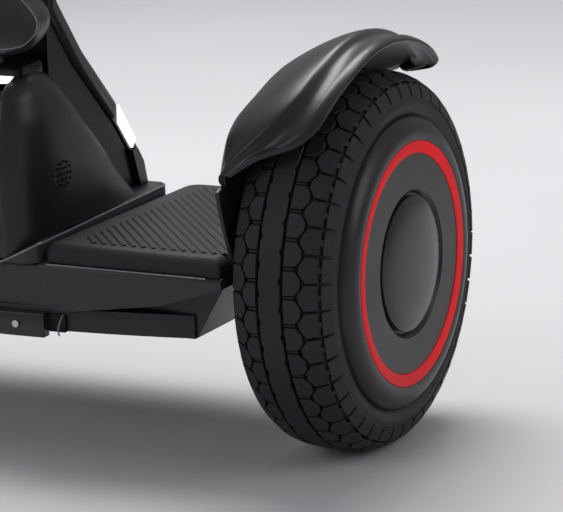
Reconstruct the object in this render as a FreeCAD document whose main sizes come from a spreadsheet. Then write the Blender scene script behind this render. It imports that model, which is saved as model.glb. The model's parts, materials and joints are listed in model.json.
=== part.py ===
import FreeCAD, Part
import math
import os

import Sketcher

Vector = FreeCAD.Vector

doc = FreeCAD.newDocument("balancing_transporter")

# ---------------------------------------------------------------------------
# Driving dimensions (mm). X is the wheel axis, Y points to the rear, Z up, ground at 0.
# ---------------------------------------------------------------------------
DIMENSIONS = [
    ("wheel_x", 227.5, "centre plane to a tyre's middle plane"),
    ("tyre_rad", 130, "tyre outer radius, and axle height"),
    ("tyre_half", 36, "half of the tyre's width"),
    ("bead_rad", 83, "tyre bead radius"),
    ("wall_thick", 7, "tyre wall"),
    ("axle_rad", 7.5, "wheel axle radius"),
    ("axle_fit", 0.05, "running clearance on the axle"),
    ("bearing_rad", 17.5, "wheel bearing outer radius"),
    ("bearing_wide", 11, "wheel bearing width"),
    ("stator_rad", 71.2, "stator outer radius"),
    ("magnet_rad", 77.6, "magnet ring outer radius"),
    ("cover_rad", 100, "hub cover outer radius"),
    ("ring_out", 83.7, "accent ring outer radius"),
    ("ring_in", 74.8, "accent ring inner radius"),
    ("cap_rad", 46.4, "centre cap radius"),
    ("frame_half", 178, "half of the frame's width"),
    ("frame_deep", 106, "half of the frame's depth"),
    ("frame_top", 136, "frame top face"),
    ("mat_in", 41, "inner edge of a foot mat"),
    ("mat_out", 177, "outer edge of a foot mat"),
    ("mat_deep", 104, "half of a mat's depth"),
    ("mat_thick", 14, "foot mat thickness"),
    ("case_half", 150, "half width of the battery case's floor"),
    ("case_deep", 90, "half depth of the battery case"),
    ("case_low", 89, "battery case underside"),
    ("nose_bow", 15, "how far the battery's nose bows forward at its middle"),
    ("clamp_x", 157, "centre plane to the middle of an axle clamp"),
    ("clamp_half", 20, "half width of the room for an axle clamp"),
    ("port_x", 62, "centre plane to the charge port"),
    ("latch_half", 45, "half width of the battery latch housing"),
    ("latch_deep", 7, "depth of the battery latch housing"),
    ("release_x", 24, "centre plane to the battery release"),
    ("release_rad", 2.5, "battery release radius"),
    ("cell_rad", 9, "battery cell radius"),
    ("cell_long", 65, "battery cell length"),
    ("skirt_half", 40, "half width of the hump's base plate"),
    ("skirt_front", 112, "base plate front end"),
    ("skirt_rear", 80, "base plate rear end"),
    ("skirt_top", 154, "base plate top"),
    ("core_half", 20, "half width of the gloss core"),
    ("spine_half", 24, "half width of the ridge"),
    ("pivot_y", -70, "middle of the column's lower end"),
    ("pivot_z", 288, "height of the steering axis"),
    ("knuckle_rad", 25, "radius of the column's rounded lower end"),
    ("knuckle_long", 36, "length of the knuckle along the steering axis"),
    ("pivot_rad", 5, "steering shaft radius"),
    ("pivot_seat", 9.5, "steering bearing outer radius"),
    ("post_lean", 7, "backward lean of the post, in degrees"),
    ("post_y", -95, "foot of the post"),
    ("post_z", 345, "foot of the post"),
    ("post_wide", 36, "outer tube width"),
    ("post_deep", 30, "outer tube depth"),
    ("post_wall", 3, "outer tube wall"),
    ("post_long", 176, "outer tube length"),
    ("slide_fit", 0.3, "clearance of the inner tube"),
    ("inner_long", 185, "inner tube length"),
    ("pad_tall", 112, "knee pad height"),
    ("pad_deep", 62, "knee pad depth"),
    ("pad_thick", 26, "knee pad thickness"),
    ("pad_in", 29, "inner face of a knee pad"),
    ("fender_in", 179, "inner face of a fender's wall"),
    ("fender_out", 257, "outer lip of a fender"),
    ("fender_rad", 157, "fender crown radius"),
    ("fender_skin", 3, "fender thickness"),
    ("fender_front", 56, "fender reach forward, in degrees"),
    ("fender_rear", 38, "fender reach backward, in degrees"),
]

dims = doc.addObject("Spreadsheet::Sheet", "dims")
for row, (alias, value, note) in enumerate(DIMENSIONS, start=1):
    dims.set(f"A{row}", alias)
    dims.set(f"B{row}", str(value))
    dims.set(f"C{row}", note)
    dims.setAlias(f"B{row}", alias)
doc.recompute()

SIDES = (("left", -1), ("right", 1))
nodes = []


def size(formula):
    """Value of a formula of sheet cells, such as 'dims.tyre_rad - 5'."""
    if isinstance(formula, str):
        return float(dims.evalExpression(formula))
    return float(formula)


def bind(thing, prop, formula):
    thing.setExpression(prop, str(formula))


def keep(thing, label):
    """Give the finished sub-part its node name."""
    thing.Label = label
    nodes.append(thing)
    return thing


def place(thing, x="0", y="0", z="0"):
    for axis, formula in zip("xyz", (x, y, z)):
        bind(thing, f".Placement.Base.{axis}", formula)


def flip_left(thing, side):
    """Turn a part that is made for the right wheel so that it serves the left one."""
    if side < 0:
        thing.Placement = FreeCAD.Placement(Vector(), FreeCAD.Rotation(Vector(0, 0, 1), 180))


# ---------------------------------------------------------------------------
# Sketch helpers
# ---------------------------------------------------------------------------
def origin_plane(body, role):
    return [item for item in body.Origin.OriginFeatures if item.Role == role][0]


def new_sketch(body, name, plane):
    sketch = body.newObject("Sketcher::SketchObject", name)
    sketch.AttachmentSupport = [(origin_plane(body, plane), "")]
    sketch.MapMode = "FlatFace"
    return sketch


def add_outline(sketch, path):
    """Closed outline. A step (x, y) is a line to that corner; (x, y, mx, my) an arc through mx, my."""
    corners = [Vector(size(step[0]), size(step[1]), 0) for step in path]
    start = sketch.GeometryCount
    for index, step in enumerate(path):
        before = corners[index - 1]
        if len(step) == 4:
            middle = Vector(size(step[2]), size(step[3]), 0)
            sketch.addGeometry(Part.Arc(before, middle, corners[index]))
        else:
            sketch.addGeometry(Part.LineSegment(before, corners[index]))

    def end_at(index, point):
        first = sketch.getPoint(start + index, 1)
        return 1 if first.distanceToPoint(point) < 1e-6 else 2

    for index, corner in enumerate(corners):
        after = (index + 1) % len(corners)
        here, there = end_at(index, corner), end_at(after, corner)
        sketch.addConstraint(Sketcher.Constraint("Coincident", start + index, here, start + after, there))
        for kind, formula, value in (("X", path[index][0], corner.x), ("Y", path[index][1], corner.y)):
            number = sketch.addConstraint(
                Sketcher.Constraint("Distance" + kind, -1, 1, start + index, here, value))
            sketch.setExpression(f"Constraints[{number}]", str(formula))


def add_circle(sketch, x, y, radius):
    centre = Vector(size(x), size(y), 0)
    index = sketch.addGeometry(Part.Circle(centre, Vector(0, 0, 1), size(radius)))
    rules = (
        (Sketcher.Constraint("Radius", index, size(radius)), radius),
        (Sketcher.Constraint("DistanceX", -1, 1, index, 3, centre.x), x),
        (Sketcher.Constraint("DistanceY", -1, 1, index, 3, centre.y), y),
    )
    for rule, formula in rules:
        number = sketch.addConstraint(rule)
        sketch.setExpression(f"Constraints[{number}]", str(formula))


def rectangle(low_x, high_x, low_y, high_y):
    return [(low_x, low_y), (high_x, low_y), (high_x, high_y), (low_x, high_y)]


# ---------------------------------------------------------------------------
# Solid helpers
# ---------------------------------------------------------------------------
def padded(name, plane, outlines, length, midplane=True, circles=()):
    """A body with one sketch, padded along the plane's normal."""
    body = doc.addObject("PartDesign::Body", name)
    sketch = new_sketch(body, name + "_sketch", plane)
    for path in outlines:
        add_outline(sketch, path)
    for circle in circles:
        add_circle(sketch, *circle)
    pad = body.newObject("PartDesign::Pad", name + "_pad")
    pad.Profile = sketch
    if midplane:
        pad.SideType = "Symmetric"
    bind(pad, "Length", length)
    return body


def pocketed(body, name, plane, outlines, length, midplane=False, reverse=False, circles=()):
    """Cut a body through from one of its origin planes."""
    sketch = new_sketch(body, name + "_sketch", plane)
    for path in outlines:
        add_outline(sketch, path)
    for circle in circles:
        add_circle(sketch, *circle)
    doc.recompute()
    before = body.Shape.Volume
    pocket = body.newObject("PartDesign::Pocket", name)
    pocket.Profile = sketch
    if midplane:
        pocket.SideType = "Symmetric"
    pocket.Reversed = reverse
    bind(pocket, "Length", length)
    doc.recompute()
    if body.Shape.Volume >= before - 1e-3:
        raise RuntimeError(f"{name} removed nothing")
    return pocket


def turned(name, path):
    """A ring about X. The outline gives (place along X, radius)."""
    body = doc.addObject("PartDesign::Body", name)
    sketch = new_sketch(body, name + "_sketch", "XZ_Plane")
    add_outline(sketch, path)
    turn = body.newObject("PartDesign::Revolution", name + "_turn")
    turn.Profile = sketch
    turn.ReferenceAxis = (sketch, ["H_Axis"])
    turn.Angle = 360
    return body


def dress_edges(body, kind, name, pick):
    """Add a fillet or chamfer feature on the edges of the body's tip that pick(edge) accepts."""
    doc.recompute()
    tip = body.Tip
    names = [f"Edge{i}" for i, edge in enumerate(tip.Shape.Edges, start=1) if pick(edge)]
    feature = body.newObject(f"PartDesign::{kind}", name)
    feature.Base = (tip, names)
    return feature


def fillet(body, name, radius, pick):
    bind(dress_edges(body, "Fillet", name, pick), "Radius", radius)


def chamfer(body, name, width, pick):
    bind(dress_edges(body, "Chamfer", name, pick), "Size", width)


def runs_along(axis):
    """Edge test: a straight edge along the axis (0, 1 or 2)."""
    def pick(edge):
        if edge.Curve.TypeId != "Part::GeomLine":
            return False
        step = edge.Vertexes[-1].Point - edge.Vertexes[0].Point
        return abs(abs(step[axis]) - step.Length) < 1e-6
    return pick


def rod(name, radius, length, along, x, y, z):
    """A Part cylinder centred on x, y, z and running along an axis."""
    item = doc.addObject("Part::Cylinder", name)
    bind(item, "Radius", radius)
    bind(item, "Height", length)
    turn = {"X": FreeCAD.Rotation(Vector(0, 1, 0), 90),
            "Y": FreeCAD.Rotation(Vector(1, 0, 0), -90),
            "Z": FreeCAD.Rotation()}[along]
    item.Placement = FreeCAD.Placement(Vector(), turn)
    start = {"x": x, "y": y, "z": z}
    key = along.lower()
    start[key] = f"({start[key]}) - ({length}) / 2"
    place(item, start["x"], start["y"], start["z"])
    return item


def block(name, low_x, high_x, low_y, high_y, low_z, high_z):
    item = doc.addObject("Part::Box", name)
    bind(item, "Length", f"({high_x}) - ({low_x})")
    bind(item, "Width", f"({high_y}) - ({low_y})")
    bind(item, "Height", f"({high_z}) - ({low_z})")
    place(item, low_x, low_y, low_z)
    return item


def fuse(name, *items):
    joined = doc.addObject("Part::MultiFuse", name)
    joined.Shapes = list(items)
    return joined


def group(name, *items):
    """Separate identical solids that share one node."""
    bundle = doc.addObject("Part::Compound", name)
    bundle.Links = list(items)
    return bundle


def cut(name, base, *tools):
    for index, tool in enumerate(tools):
        result = doc.addObject("Part::Cut", f"{name}_{index}")
        result.Base = base
        result.Tool = tool
        base = result
    return base


# ---------------------------------------------------------------------------
# Wheels
# ---------------------------------------------------------------------------
def tyre_section():
    half = "dims.tyre_half"
    rad = "dims.tyre_rad"
    bead = "dims.bead_rad"
    wall = "dims.wall_thick"
    return [
        ("-30", bead), (f"-{half} + 4", "dims.cover_rad - 1"),
        (f"-{half} + 4.5", f"{rad} - 9", f"-{half}", f"{rad} - 20"),
        (f"{half} - 4.5", f"{rad} - 9", "0", rad),
        (f"{half} - 4", "dims.cover_rad - 1", half, f"{rad} - 20"),
        ("30", bead), (f"30 - {wall} + 1", bead),
        (f"{half} - 4 - {wall}", "dims.cover_rad"),
        (f"{half} - 7 - {wall}", f"{rad} - 10 - {wall}", f"{half} - {wall}", f"{rad} - 21"),
        (f"-{half} + 7 + {wall}", f"{rad} - 10 - {wall}", "0", f"{rad} - {wall}"),
        (f"-{half} + 4 + {wall}", "dims.cover_rad", f"-{half} + {wall}", f"{rad} - 21"),
        (f"-30 + {wall} - 1", bead),
    ]


def rim_section():
    """Barrel with two flanges and the motor's outer wall with its bearing boss."""
    seat = "dims.bearing_rad"
    return [
        ("-34", "dims.magnet_rad"), ("-34", "90"), ("-31.2", "90"), ("-31.2", "dims.bead_rad - 0.2"),
        ("31.2", "dims.bead_rad - 0.2"), ("31.2", "90"), ("34", "90"), ("34", "79"),
        ("29", "71"), ("29", f"{seat} + 7"), ("32", f"{seat} + 5"), ("32", seat),
        ("32 - dims.bearing_wide", seat), ("32 - dims.bearing_wide", f"{seat} + 5"),
        ("24", f"{seat} + 8"), ("24", "dims.magnet_rad"),
    ]


def inner_cover_section():
    seat = "dims.bearing_rad"
    return [
        ("-30", "dims.magnet_rad - 0.1"), ("-33", "72"), ("-36", "30"), ("-36", seat),
        ("-36 + dims.bearing_wide", seat), ("-36 + dims.bearing_wide", f"{seat} + 5"),
        ("-31", "30"), ("-26", "dims.magnet_rad - 0.1"),
    ]


def hub_cover_section():
    """Convex outer ring, a flat disc inside the accent ring and a recess for the cap."""
    return [
        ("33.4", "dims.cover_rad"), ("35.4", "dims.cover_rad"),
        ("41.6", "dims.ring_out", "40", "93"),
        ("39.6", "dims.ring_out"), ("39.6", "dims.ring_in"), ("41", "dims.ring_in"),
        ("41", "dims.cap_rad + 3"), ("36.5", "dims.cap_rad + 1"),
        ("36.5", "26"), ("33.5", "26"), ("33.5", "70"),
        ("36.6", "78"), ("36.6", "88"),
    ]


def stator_section():
    """Laminated ring, thin web and hub."""
    ring, web, hub = "60", "2", "16"
    wide = "13"
    return [
        (f"-{wide}", "dims.axle_rad"), (wide, "dims.axle_rad"), (wide, hub), (web, hub), (web, ring),
        (wide, ring), (wide, "dims.stator_rad"), (f"-{wide}", "dims.stator_rad"), (f"-{wide}", ring),
        (f"-{web}", ring), (f"-{web}", hub), (f"-{wide}", hub),
    ]


def build_wheel(name, side):
    pieces = {
        "tyre": turned(f"tyre_{name}_body", tyre_section()),
        "rim": turned(f"rim_{name}_body", rim_section()),
        "inner_cover": turned(f"inner_cover_{name}_body", inner_cover_section()),
        "hub_cover": turned(f"hub_cover_{name}_body", hub_cover_section()),
        "accent_ring": turned(
            f"accent_ring_{name}_body",
            [("39.6", "dims.ring_in"), ("41.1", "dims.ring_in"), ("42.2", "dims.ring_out - 0.6"),
             ("42.2", "dims.ring_out"), ("39.6", "dims.ring_out")]),
        "centre_cap": turned(
            f"centre_cap_{name}_body",
            [("36.6", "0.4"), ("36.6", "dims.cap_rad - 3"), ("38", "dims.cap_rad"),
             ("44.8", "0.4", "43", "dims.cap_rad - 21")]),
        "magnet_ring": turned(
            f"magnet_ring_{name}_body",
            rectangle("-15", "15", "dims.stator_rad + 0.8", "dims.magnet_rad - 0.1")),
        "stator": turned(f"stator_{name}_body", stator_section()),
    }
    for key, body in pieces.items():
        flip_left(body, side)
        place(body, f"dims.wheel_x * {side}", "0", "dims.tyre_rad")
        keep(body, f"{key}_{name}")

    rings = []
    for index, start in enumerate(("32 - dims.bearing_wide", "-36")):
        ring = turned(f"wheel_bearing_{name}_{index}", rectangle(
            start, f"{start} + dims.bearing_wide", "dims.axle_rad + dims.axle_fit", "dims.bearing_rad"))
        flip_left(ring, side)
        place(ring, f"dims.wheel_x * {side}", "0", "dims.tyre_rad")
        rings.append(ring)
    keep(group(f"wheel_bearings_{name}_group", *rings), f"wheel_bearings_{name}")

    axle = rod(f"axle_{name}_rod", "dims.axle_rad", "118", "X",
               f"(dims.wheel_x - 24) * {side}", "0", "dims.tyre_rad")
    keep(axle, f"axle_{name}")

    valve = rod(f"valve_{name}_rod", "3", "8", "X",
                f"(dims.wheel_x - 38.2) * {side}", "0", "dims.tyre_rad + 85")
    keep(valve, f"valve_{name}")


# ---------------------------------------------------------------------------
# Platform
# ---------------------------------------------------------------------------
def build_frame():
    wide, top = "dims.frame_half", "dims.frame_top"
    section = [
        (f"-{wide}", f"{top} - 7"), ("-130", f"{top} - 22"), ("-62", f"{top} - 32"), ("62", f"{top} - 32"),
        ("130", f"{top} - 22"), (wide, f"{top} - 7"), (wide, top), (f"-{wide}", top),
    ]
    body = padded("frame_body", "XZ_Plane", [section], "dims.frame_deep * 2")
    fillet(body, "frame_lip", "3", lambda edge: edge.BoundBox.ZMin > size(top) - 0.1
           and abs(edge.BoundBox.YLength) < 0.1)
    bay = rectangle("-134", "134", "-84", "84")
    pocketed(body, "electronics_bay", "XY_Plane", [bay], f"{top} - 5", reverse=True)
    slots = [rectangle(f"{side} * (dims.frame_half - 20) - 21", f"{side} * (dims.frame_half - 20) + 21",
                       "-24.2", "24.2") for _, side in SIDES]
    pocketed(body, "clamp_slots", "XY_Plane", slots, "200", reverse=True)
    ledges = [rectangle(f"{side} * 100 - 30", f"{side} * 100 + 30", "-70", "70") for _, side in SIDES]
    trays = padded_cutter("sensor_trays", ledges, f"{top} - 2.4", top)
    holes = [
        rod("button_hole", "9.4", "20", "Y", "0", "dims.frame_deep", f"{top} - 15"),
        rod("port_hole", "8.2", "40", "Y", "dims.port_x", "dims.frame_deep", f"{top} - 14"),
    ]
    pins = bottom_pins("frame_hole") + fender_pins("frame_side_hole")
    keep(cut("frame_cut", body, trays, *holes, *pins), "chassis_frame")


def padded_cutter(name, outlines, low, high):
    """Tool solid for a boolean: outlines on XY between two heights."""
    body = padded(name, "XY_Plane", outlines, f"({high}) - ({low}) + 1", midplane=False)
    place(body, "0", "0", low)
    return body


def build_battery():
    """The case has sloping ends, reaches up to the frame and carries two rows of cells."""
    half, low, top = "dims.case_half", "dims.case_low", "dims.frame_top"
    outside = [
        (f"-{half}", low), (half, low), (f"{half} + 22", f"{top} - 9.2"), ("130", f"{top} - 22.1"),
        ("62", f"{top} - 32.1"), ("-62", f"{top} - 32.1"), ("-130", f"{top} - 22.1"),
        (f"-{half} - 22", f"{top} - 9.2"),
    ]
    inside = [
        (f"-{half} + 5", f"{low} + 2.6"), (f"{half} - 5", f"{low} + 2.6"),
        (f"{half} + 19", f"{top}"), (f"-{half} - 19", f"{top}"),
    ]
    case = padded("case_body", "XZ_Plane", [outside], "dims.case_deep * 2")
    fillet(case, "case_edges", "4", lambda edge: runs_along(1)(edge)
           and edge.BoundBox.ZMax < size(low) + 0.1)
    pocketed(case, "case_inside", "XZ_Plane", [inside], "dims.case_deep * 2 - 12", midplane=True)
    rooms = [block(f"case_room_{name}", f"{side} * dims.clamp_x - dims.clamp_half",
                   f"{side} * dims.clamp_x + dims.clamp_half", "-24.2", "24.2", "dims.tyre_rad - 22.2", top)
             for name, side in SIDES]
    bow = [(f"-{half} + 0.5", "-dims.case_deep + 4"), (f"-{half} + 0.5", "-dims.case_deep - 2"),
           (f"{half} - 0.5", "-dims.case_deep - 2", "0", "-dims.case_deep - 2 - dims.nose_bow"),
           (f"{half} - 0.5", "-dims.case_deep + 4")]
    nose = padded("case_nose", "XY_Plane", [bow], f"{top} - {low} - 33.1", midplane=False)
    place(nose, "0", "0", f"{low} + 1")
    keep(cut("case_cut", fuse("case_fuse", case, nose), *rooms, *bottom_pins("case_hole")), "battery_case")

    cells = []
    pitch = "(2 * dims.cell_rad + 0.6)"
    for row, y in enumerate(("-dims.cell_long / 2 - 1.5", "dims.cell_long / 2 + 1.5")):
        for column in range(-7, 8):
            cells.append(rod(f"cell_{row}_{column + 7}", "dims.cell_rad", "dims.cell_long", "Y",
                             f"{column} * {pitch}", y, f"{low} + 2.8 + dims.cell_rad"))
    keep(group("cell_group", *cells), "battery_cells")


def build_mats():
    for name, side in SIDES:
        inner, outer = f"{side} * dims.mat_in", f"{side} * dims.mat_out"
        deep, thick = "dims.mat_deep", "dims.mat_thick"
        body = padded(f"mat_{name}_body", "XY_Plane",
                      [rectangle(inner, outer, f"-{deep}", deep)] if side > 0
                      else [rectangle(outer, inner, f"-{deep}", deep)], thick, midplane=False)
        place(body, "0", "0", "dims.frame_top")
        fillet(body, f"mat_{name}_corners", "12", runs_along(2))
        chamfer(body, f"mat_{name}_slope", "6", lambda edge: edge.BoundBox.ZMin > size(thick) - 0.1)
        room = block(f"mat_{name}_room", f"{side} * (dims.clamp_x + 1) - 22", f"{side} * (dims.clamp_x + 1) + 22",
                     "-26", "26", "dims.frame_top - 1", "dims.frame_top + 7")
        keep(cut(f"mat_{name}_cut", body, room), f"foot_mat_{name}")

    strips = [block(f"sensor_{name}", f"{side} * 100 - 29.8", f"{side} * 100 + 29.8", "-69.8", "69.8",
                    "dims.frame_top - 2.3", "dims.frame_top - 0.1") for name, side in SIDES]
    keep(group("sensor_group", *strips), "foot_sensors")


def build_clamps():
    """Split blocks that hold the two axles in the ends of the frame."""
    blocks = []
    for name, side in SIDES:
        body = block(f"clamp_{name}_block", f"{side} * dims.clamp_x - dims.clamp_half + 0.2",
                     f"{side} * dims.clamp_x + dims.clamp_half - 0.2", "-24", "24",
                     "dims.tyre_rad - 22", "dims.tyre_rad + 12.5")
        bore = rod(f"clamp_{name}_bore", "dims.axle_rad", "60", "X", f"{side} * dims.clamp_x", "0",
                   "dims.tyre_rad")
        blocks.append(cut(f"clamp_{name}_cut", body, bore))
    keep(group("clamp_group", *blocks), "axle_clamps")


def build_electronics():
    top = "dims.frame_top"
    keep(block("drive_board", "-120", "-10", "-60", "60", f"{top} - 19", f"{top} - 8"), "controller_board")
    keep(block("balance_board", "10", "70", "-30", "30", f"{top} - 17", f"{top} - 11"), "gyro_board")

    button = rod("button_rod", "9", "9", "Y", "0", "dims.frame_deep - 1", f"{top} - 15")
    keep(button, "power_button")

    socket = rod("socket_rod", "8", "18", "Y", "dims.port_x", "dims.frame_deep - 9.2", f"{top} - 14")
    hole = rod("socket_hole", "4.5", "12", "Y", "dims.port_x", "dims.frame_deep", f"{top} - 14")
    keep(cut("socket_cut", socket, hole), "charge_port")

    flap = padded("flap_body", "XZ_Plane", [rectangle("-11", "11", "-10", "9")], "2", midplane=True)
    fillet(flap, "flap_corners", "4", runs_along(1))
    place(flap, "dims.port_x", "dims.frame_deep + 1.2", f"{top} - 14")
    keep(flap, "charge_port_flap")


def build_latch():
    """Latch housing on the battery's nose and the round release that is pressed into it."""
    low, nose = "dims.case_low", "(-dims.case_deep - 2 - dims.nose_bow)"
    shell = block("latch_block", "-dims.latch_half", "dims.latch_half", f"{nose} - 0.1 - dims.latch_deep",
                  f"{nose} - 0.1", f"{low} - 3", f"{low} + 14")
    well = rod("latch_well", "dims.release_rad + 0.2", "24", "Y", "dims.release_x", nose, f"{low} + 6")
    keep(cut("latch_cut", shell, well), "latch_housing")
    release = rod("release_rod", "dims.release_rad", "6", "Y", "dims.release_x",
                  f"{nose} - dims.latch_deep", f"{low} + 6")
    keep(release, "battery_release")


def bottom_pins(name):
    """Shanks of the screws that hold the battery case; also the tools for their holes."""
    return [rod(f"{name}_{x}_{y}", "1.6", "28", "Z", str(x), str(y), "103.5")
            for x in (-120, -50, 50, 120) for y in (-87, 87)]


def fender_pins(name):
    """Shanks of the screws that hold the fenders to the ends of the frame."""
    return [rod(f"{name}_{side_name}_{y}", "2.5", "13", "X", f"{side} * (dims.fender_in - 1)", str(y),
                "dims.frame_top - 4") for side_name, side in SIDES for y in (-62, -40, 40, 62)]


def build_screws():
    keep(group("bottom_screw_group", *bottom_pins("bottom_screw")), "bottom_screws")
    keep(group("fender_screw_group", *fender_pins("fender_screw")), "fender_screws")


# ---------------------------------------------------------------------------
# Fenders
# ---------------------------------------------------------------------------
def on_arc(radius, degrees):
    """Place (y, z) on a circle about the axle; degrees from the top, positive to the rear."""
    turn = math.radians(degrees)
    return radius * math.sin(turn), size("dims.tyre_rad") + radius * math.cos(turn)


def corner_cutter(radius, outer, reach, ahead):
    """Tool that rounds the roof's outer corner at its front (ahead = 1) or its rear end (-1)."""
    crown = size("dims.fender_rad")
    turn = reach - math.degrees(radius / crown)
    start_x = outer - radius
    waste = Part.makeBox(radius + 9, 90, 400, Vector(start_x, -90, 0))
    waste = waste.cut(Part.makeCylinder(radius, 400, Vector(start_x, 0, 0), Vector(0, 0, 1)))
    if ahead < 0:
        waste = waste.mirror(Vector(), Vector(0, 1, 0))
    waste.rotate(Vector(), Vector(1, 0, 0), ahead * turn)
    waste.translate(Vector(0, 0, size("dims.tyre_rad")))
    return waste


def build_fender(name, side):
    """Curved roof over the tyre and a flat inner wall, with a rounded front outer corner."""
    crown, skin = size("dims.fender_rad"), size("dims.fender_skin")
    inner, outer = size("dims.fender_in"), size("dims.fender_out")
    front, rear = size("dims.fender_front"), size("dims.fender_rear")
    axle_height = size("dims.tyre_rad")

    roof = [(inner, crown - 19), (inner + 12, crown - 8), (inner + 32, crown - 2), (inner + 54, crown),
            (outer - 8, crown - 3), (outer, crown - 9)]
    curve = Part.BSplineCurve()
    curve.interpolate([Vector(x, 0, axle_height + r) for x, r in roof])
    under = Part.BSplineCurve()
    under.interpolate([Vector(x + (skin if index == 0 else 0), 0, axle_height + r - skin)
                       for index, (x, r) in enumerate(roof)])
    ends = [Part.makeLine(curve.EndPoint, under.EndPoint), Part.makeLine(under.StartPoint, curve.StartPoint)]
    section = Part.Wire([curve.toShape(), ends[0], under.toShape(), ends[1]])
    face = Part.Face(section)
    centre = Vector(0, 0, axle_height)
    face.rotate(centre, Vector(1, 0, 0), front)
    roof_solid = face.revolve(centre, Vector(-1, 0, 0), front + rear)

    top_radius = crown - 19
    first, last = on_arc(top_radius, -front), on_arc(top_radius, rear)
    middle = on_arc(top_radius, (rear - front) / 2)
    low = size("dims.frame_top") - 24
    sides = [(last[0] - 12, axle_height + 8), (58, low), (-58, low), (-86, axle_height + 5)]
    corners = [Vector(inner, y, z) for y, z in [last] + sides + [first]]
    edges = [Part.makeLine(a, b) for a, b in zip(corners, corners[1:])]
    edges.append(Part.Arc(Vector(inner, *first), Vector(inner, *middle), Vector(inner, *last)).toShape())
    wall = Part.Face(Part.Wire(edges)).extrude(Vector(skin, 0, 0))
    axle_hole = Part.makeCylinder(size("dims.axle_rad") + 2, 20, Vector(inner - 5, 0, axle_height),
                                  Vector(1, 0, 0))
    shape = roof_solid.fuse(wall).cut(axle_hole)
    for y in (-62, -40, 40, 62):
        shape = shape.cut(Part.makeCylinder(2.5, 20, Vector(inner - 5, y, size("dims.frame_top") - 4),
                                            Vector(1, 0, 0)))

    front_corner = corner_cutter(66, outer, front, 1)
    rear_corner = corner_cutter(26, outer, rear, -1)
    shape = shape.cut(front_corner).cut(rear_corner).removeSplitter()
    if side < 0:
        shape = shape.mirror(Vector(0, 0, 0), Vector(1, 0, 0))
    item = doc.addObject("Part::Feature", f"fender_{name}_shape")
    item.Shape = shape
    keep(item, f"fender_{name}")


# ---------------------------------------------------------------------------
# Hump
# ---------------------------------------------------------------------------
SPINE_OUTER = [("77", "154.2"), ("72", "172"), ("57", "192"), ("35", "221"), ("-9", "266"),
               ("-38", "304"), ("-49", "324")]
SPINE_INNER = [("-57.5", "323"), ("-51.2", "314"), ("-51.2", "299"), ("-18", "256"), ("33", "205"),
               ("54", "179"), ("63", "154.2")]


def build_hump():
    skirt = padded("skirt_body", "XY_Plane",
                   [rectangle("-dims.skirt_half", "dims.skirt_half", "-dims.skirt_front", "dims.skirt_rear")],
                   "dims.skirt_top - dims.frame_top - 0.2", midplane=False)
    place(skirt, "0", "0", "dims.frame_top + 0.1")
    fillet(skirt, "skirt_corners", "18", runs_along(2))
    keep(skirt, "skirt_trim")

    spine = padded("spine_body", "YZ_Plane", [SPINE_OUTER + SPINE_INNER], "dims.spine_half * 2")
    fillet(spine, "spine_ridge", "5", lambda edge: edge.Curve.TypeId == "Part::GeomLine"
           and abs(edge.BoundBox.XLength) < 0.1 and on_spine_back(edge))
    slots = [block(f"light_slot_{name}", f"{side} * dims.spine_half - 2.5", f"{side} * dims.spine_half + 2.5",
                   "30", "70", "182", "224") for name, side in SIDES]
    bearing_room = rod("spine_bore", "dims.pivot_seat", "20", "Y", "0", "-44", "dims.pivot_z")
    keep(cut("spine_cut", spine, *slots, bearing_room), "spine_cover")

    lights = []
    for name, side in SIDES:
        lens = padded(f"light_{name}_body", "YZ_Plane",
                      [[("58.6", "189.5"), ("36", "219"), ("35.5", "205"), ("53", "183.5")]], "2.2")
        place(lens, f"{side} * (dims.spine_half - 1.2)", "0", "0")
        lights.append(lens)
    keep(group("rear_light_group", *lights), "rear_lights")

    core_path = [("-96", "154.2"), ("-96", "240"), ("-90", "250"), ("-51.4", "253.5"), ("-51.4", "298.7"),
                 ("-18.2", "255.8"), ("32.8", "204.8"), ("53.8", "178.8"), ("62.8", "154.2")]
    core = padded("core_body", "YZ_Plane", [core_path], "dims.core_half * 2")
    bore = rod("core_bore", "dims.pivot_seat", "40", "Y", "0", "-40", "dims.pivot_z")
    keep(cut("core_cut", core, bore), "hump_core")

    build_hood()
    keep(rod("speaker_rod", "12", "5", "X", "34.5", "-66", "190"), "speaker")

    collar = block("collar_block", "-24", "24", "-94", "-52.4", "254", "272")
    seat = rod("collar_seat", "dims.knuckle_rad + 0.5", "60", "Y", "0", "-75", "dims.pivot_z")
    keep(cut("collar_cut", collar, seat), "column_collar")
    keep(block("headlight_block", "-12", "12", "-97", "-94.1", "254.5", "260.5"), "headlight_lens")


def on_spine_back(edge):
    """True for an edge on the ridge's outer slope."""
    middle = edge.valueAt((edge.FirstParameter + edge.LastParameter) / 2)
    return middle.y + middle.z > 226 and middle.z < 315


def ring_wire(half, front, rear, height, corner):
    """Rounded rectangle at a height: half width in X, from front to rear in Y."""
    box = Part.makePlane(2 * half, rear - front, Vector(-half, front, height))
    solid = box.extrude(Vector(0, 0, 1))
    upright = [edge for edge in solid.Edges if abs(edge.BoundBox.ZLength) > 0.5]
    solid = solid.makeFillet(corner, upright)
    low = [face for face in solid.Faces if abs(face.BoundBox.ZMax - height) < 1e-4][0]
    return low.OuterWire


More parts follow.
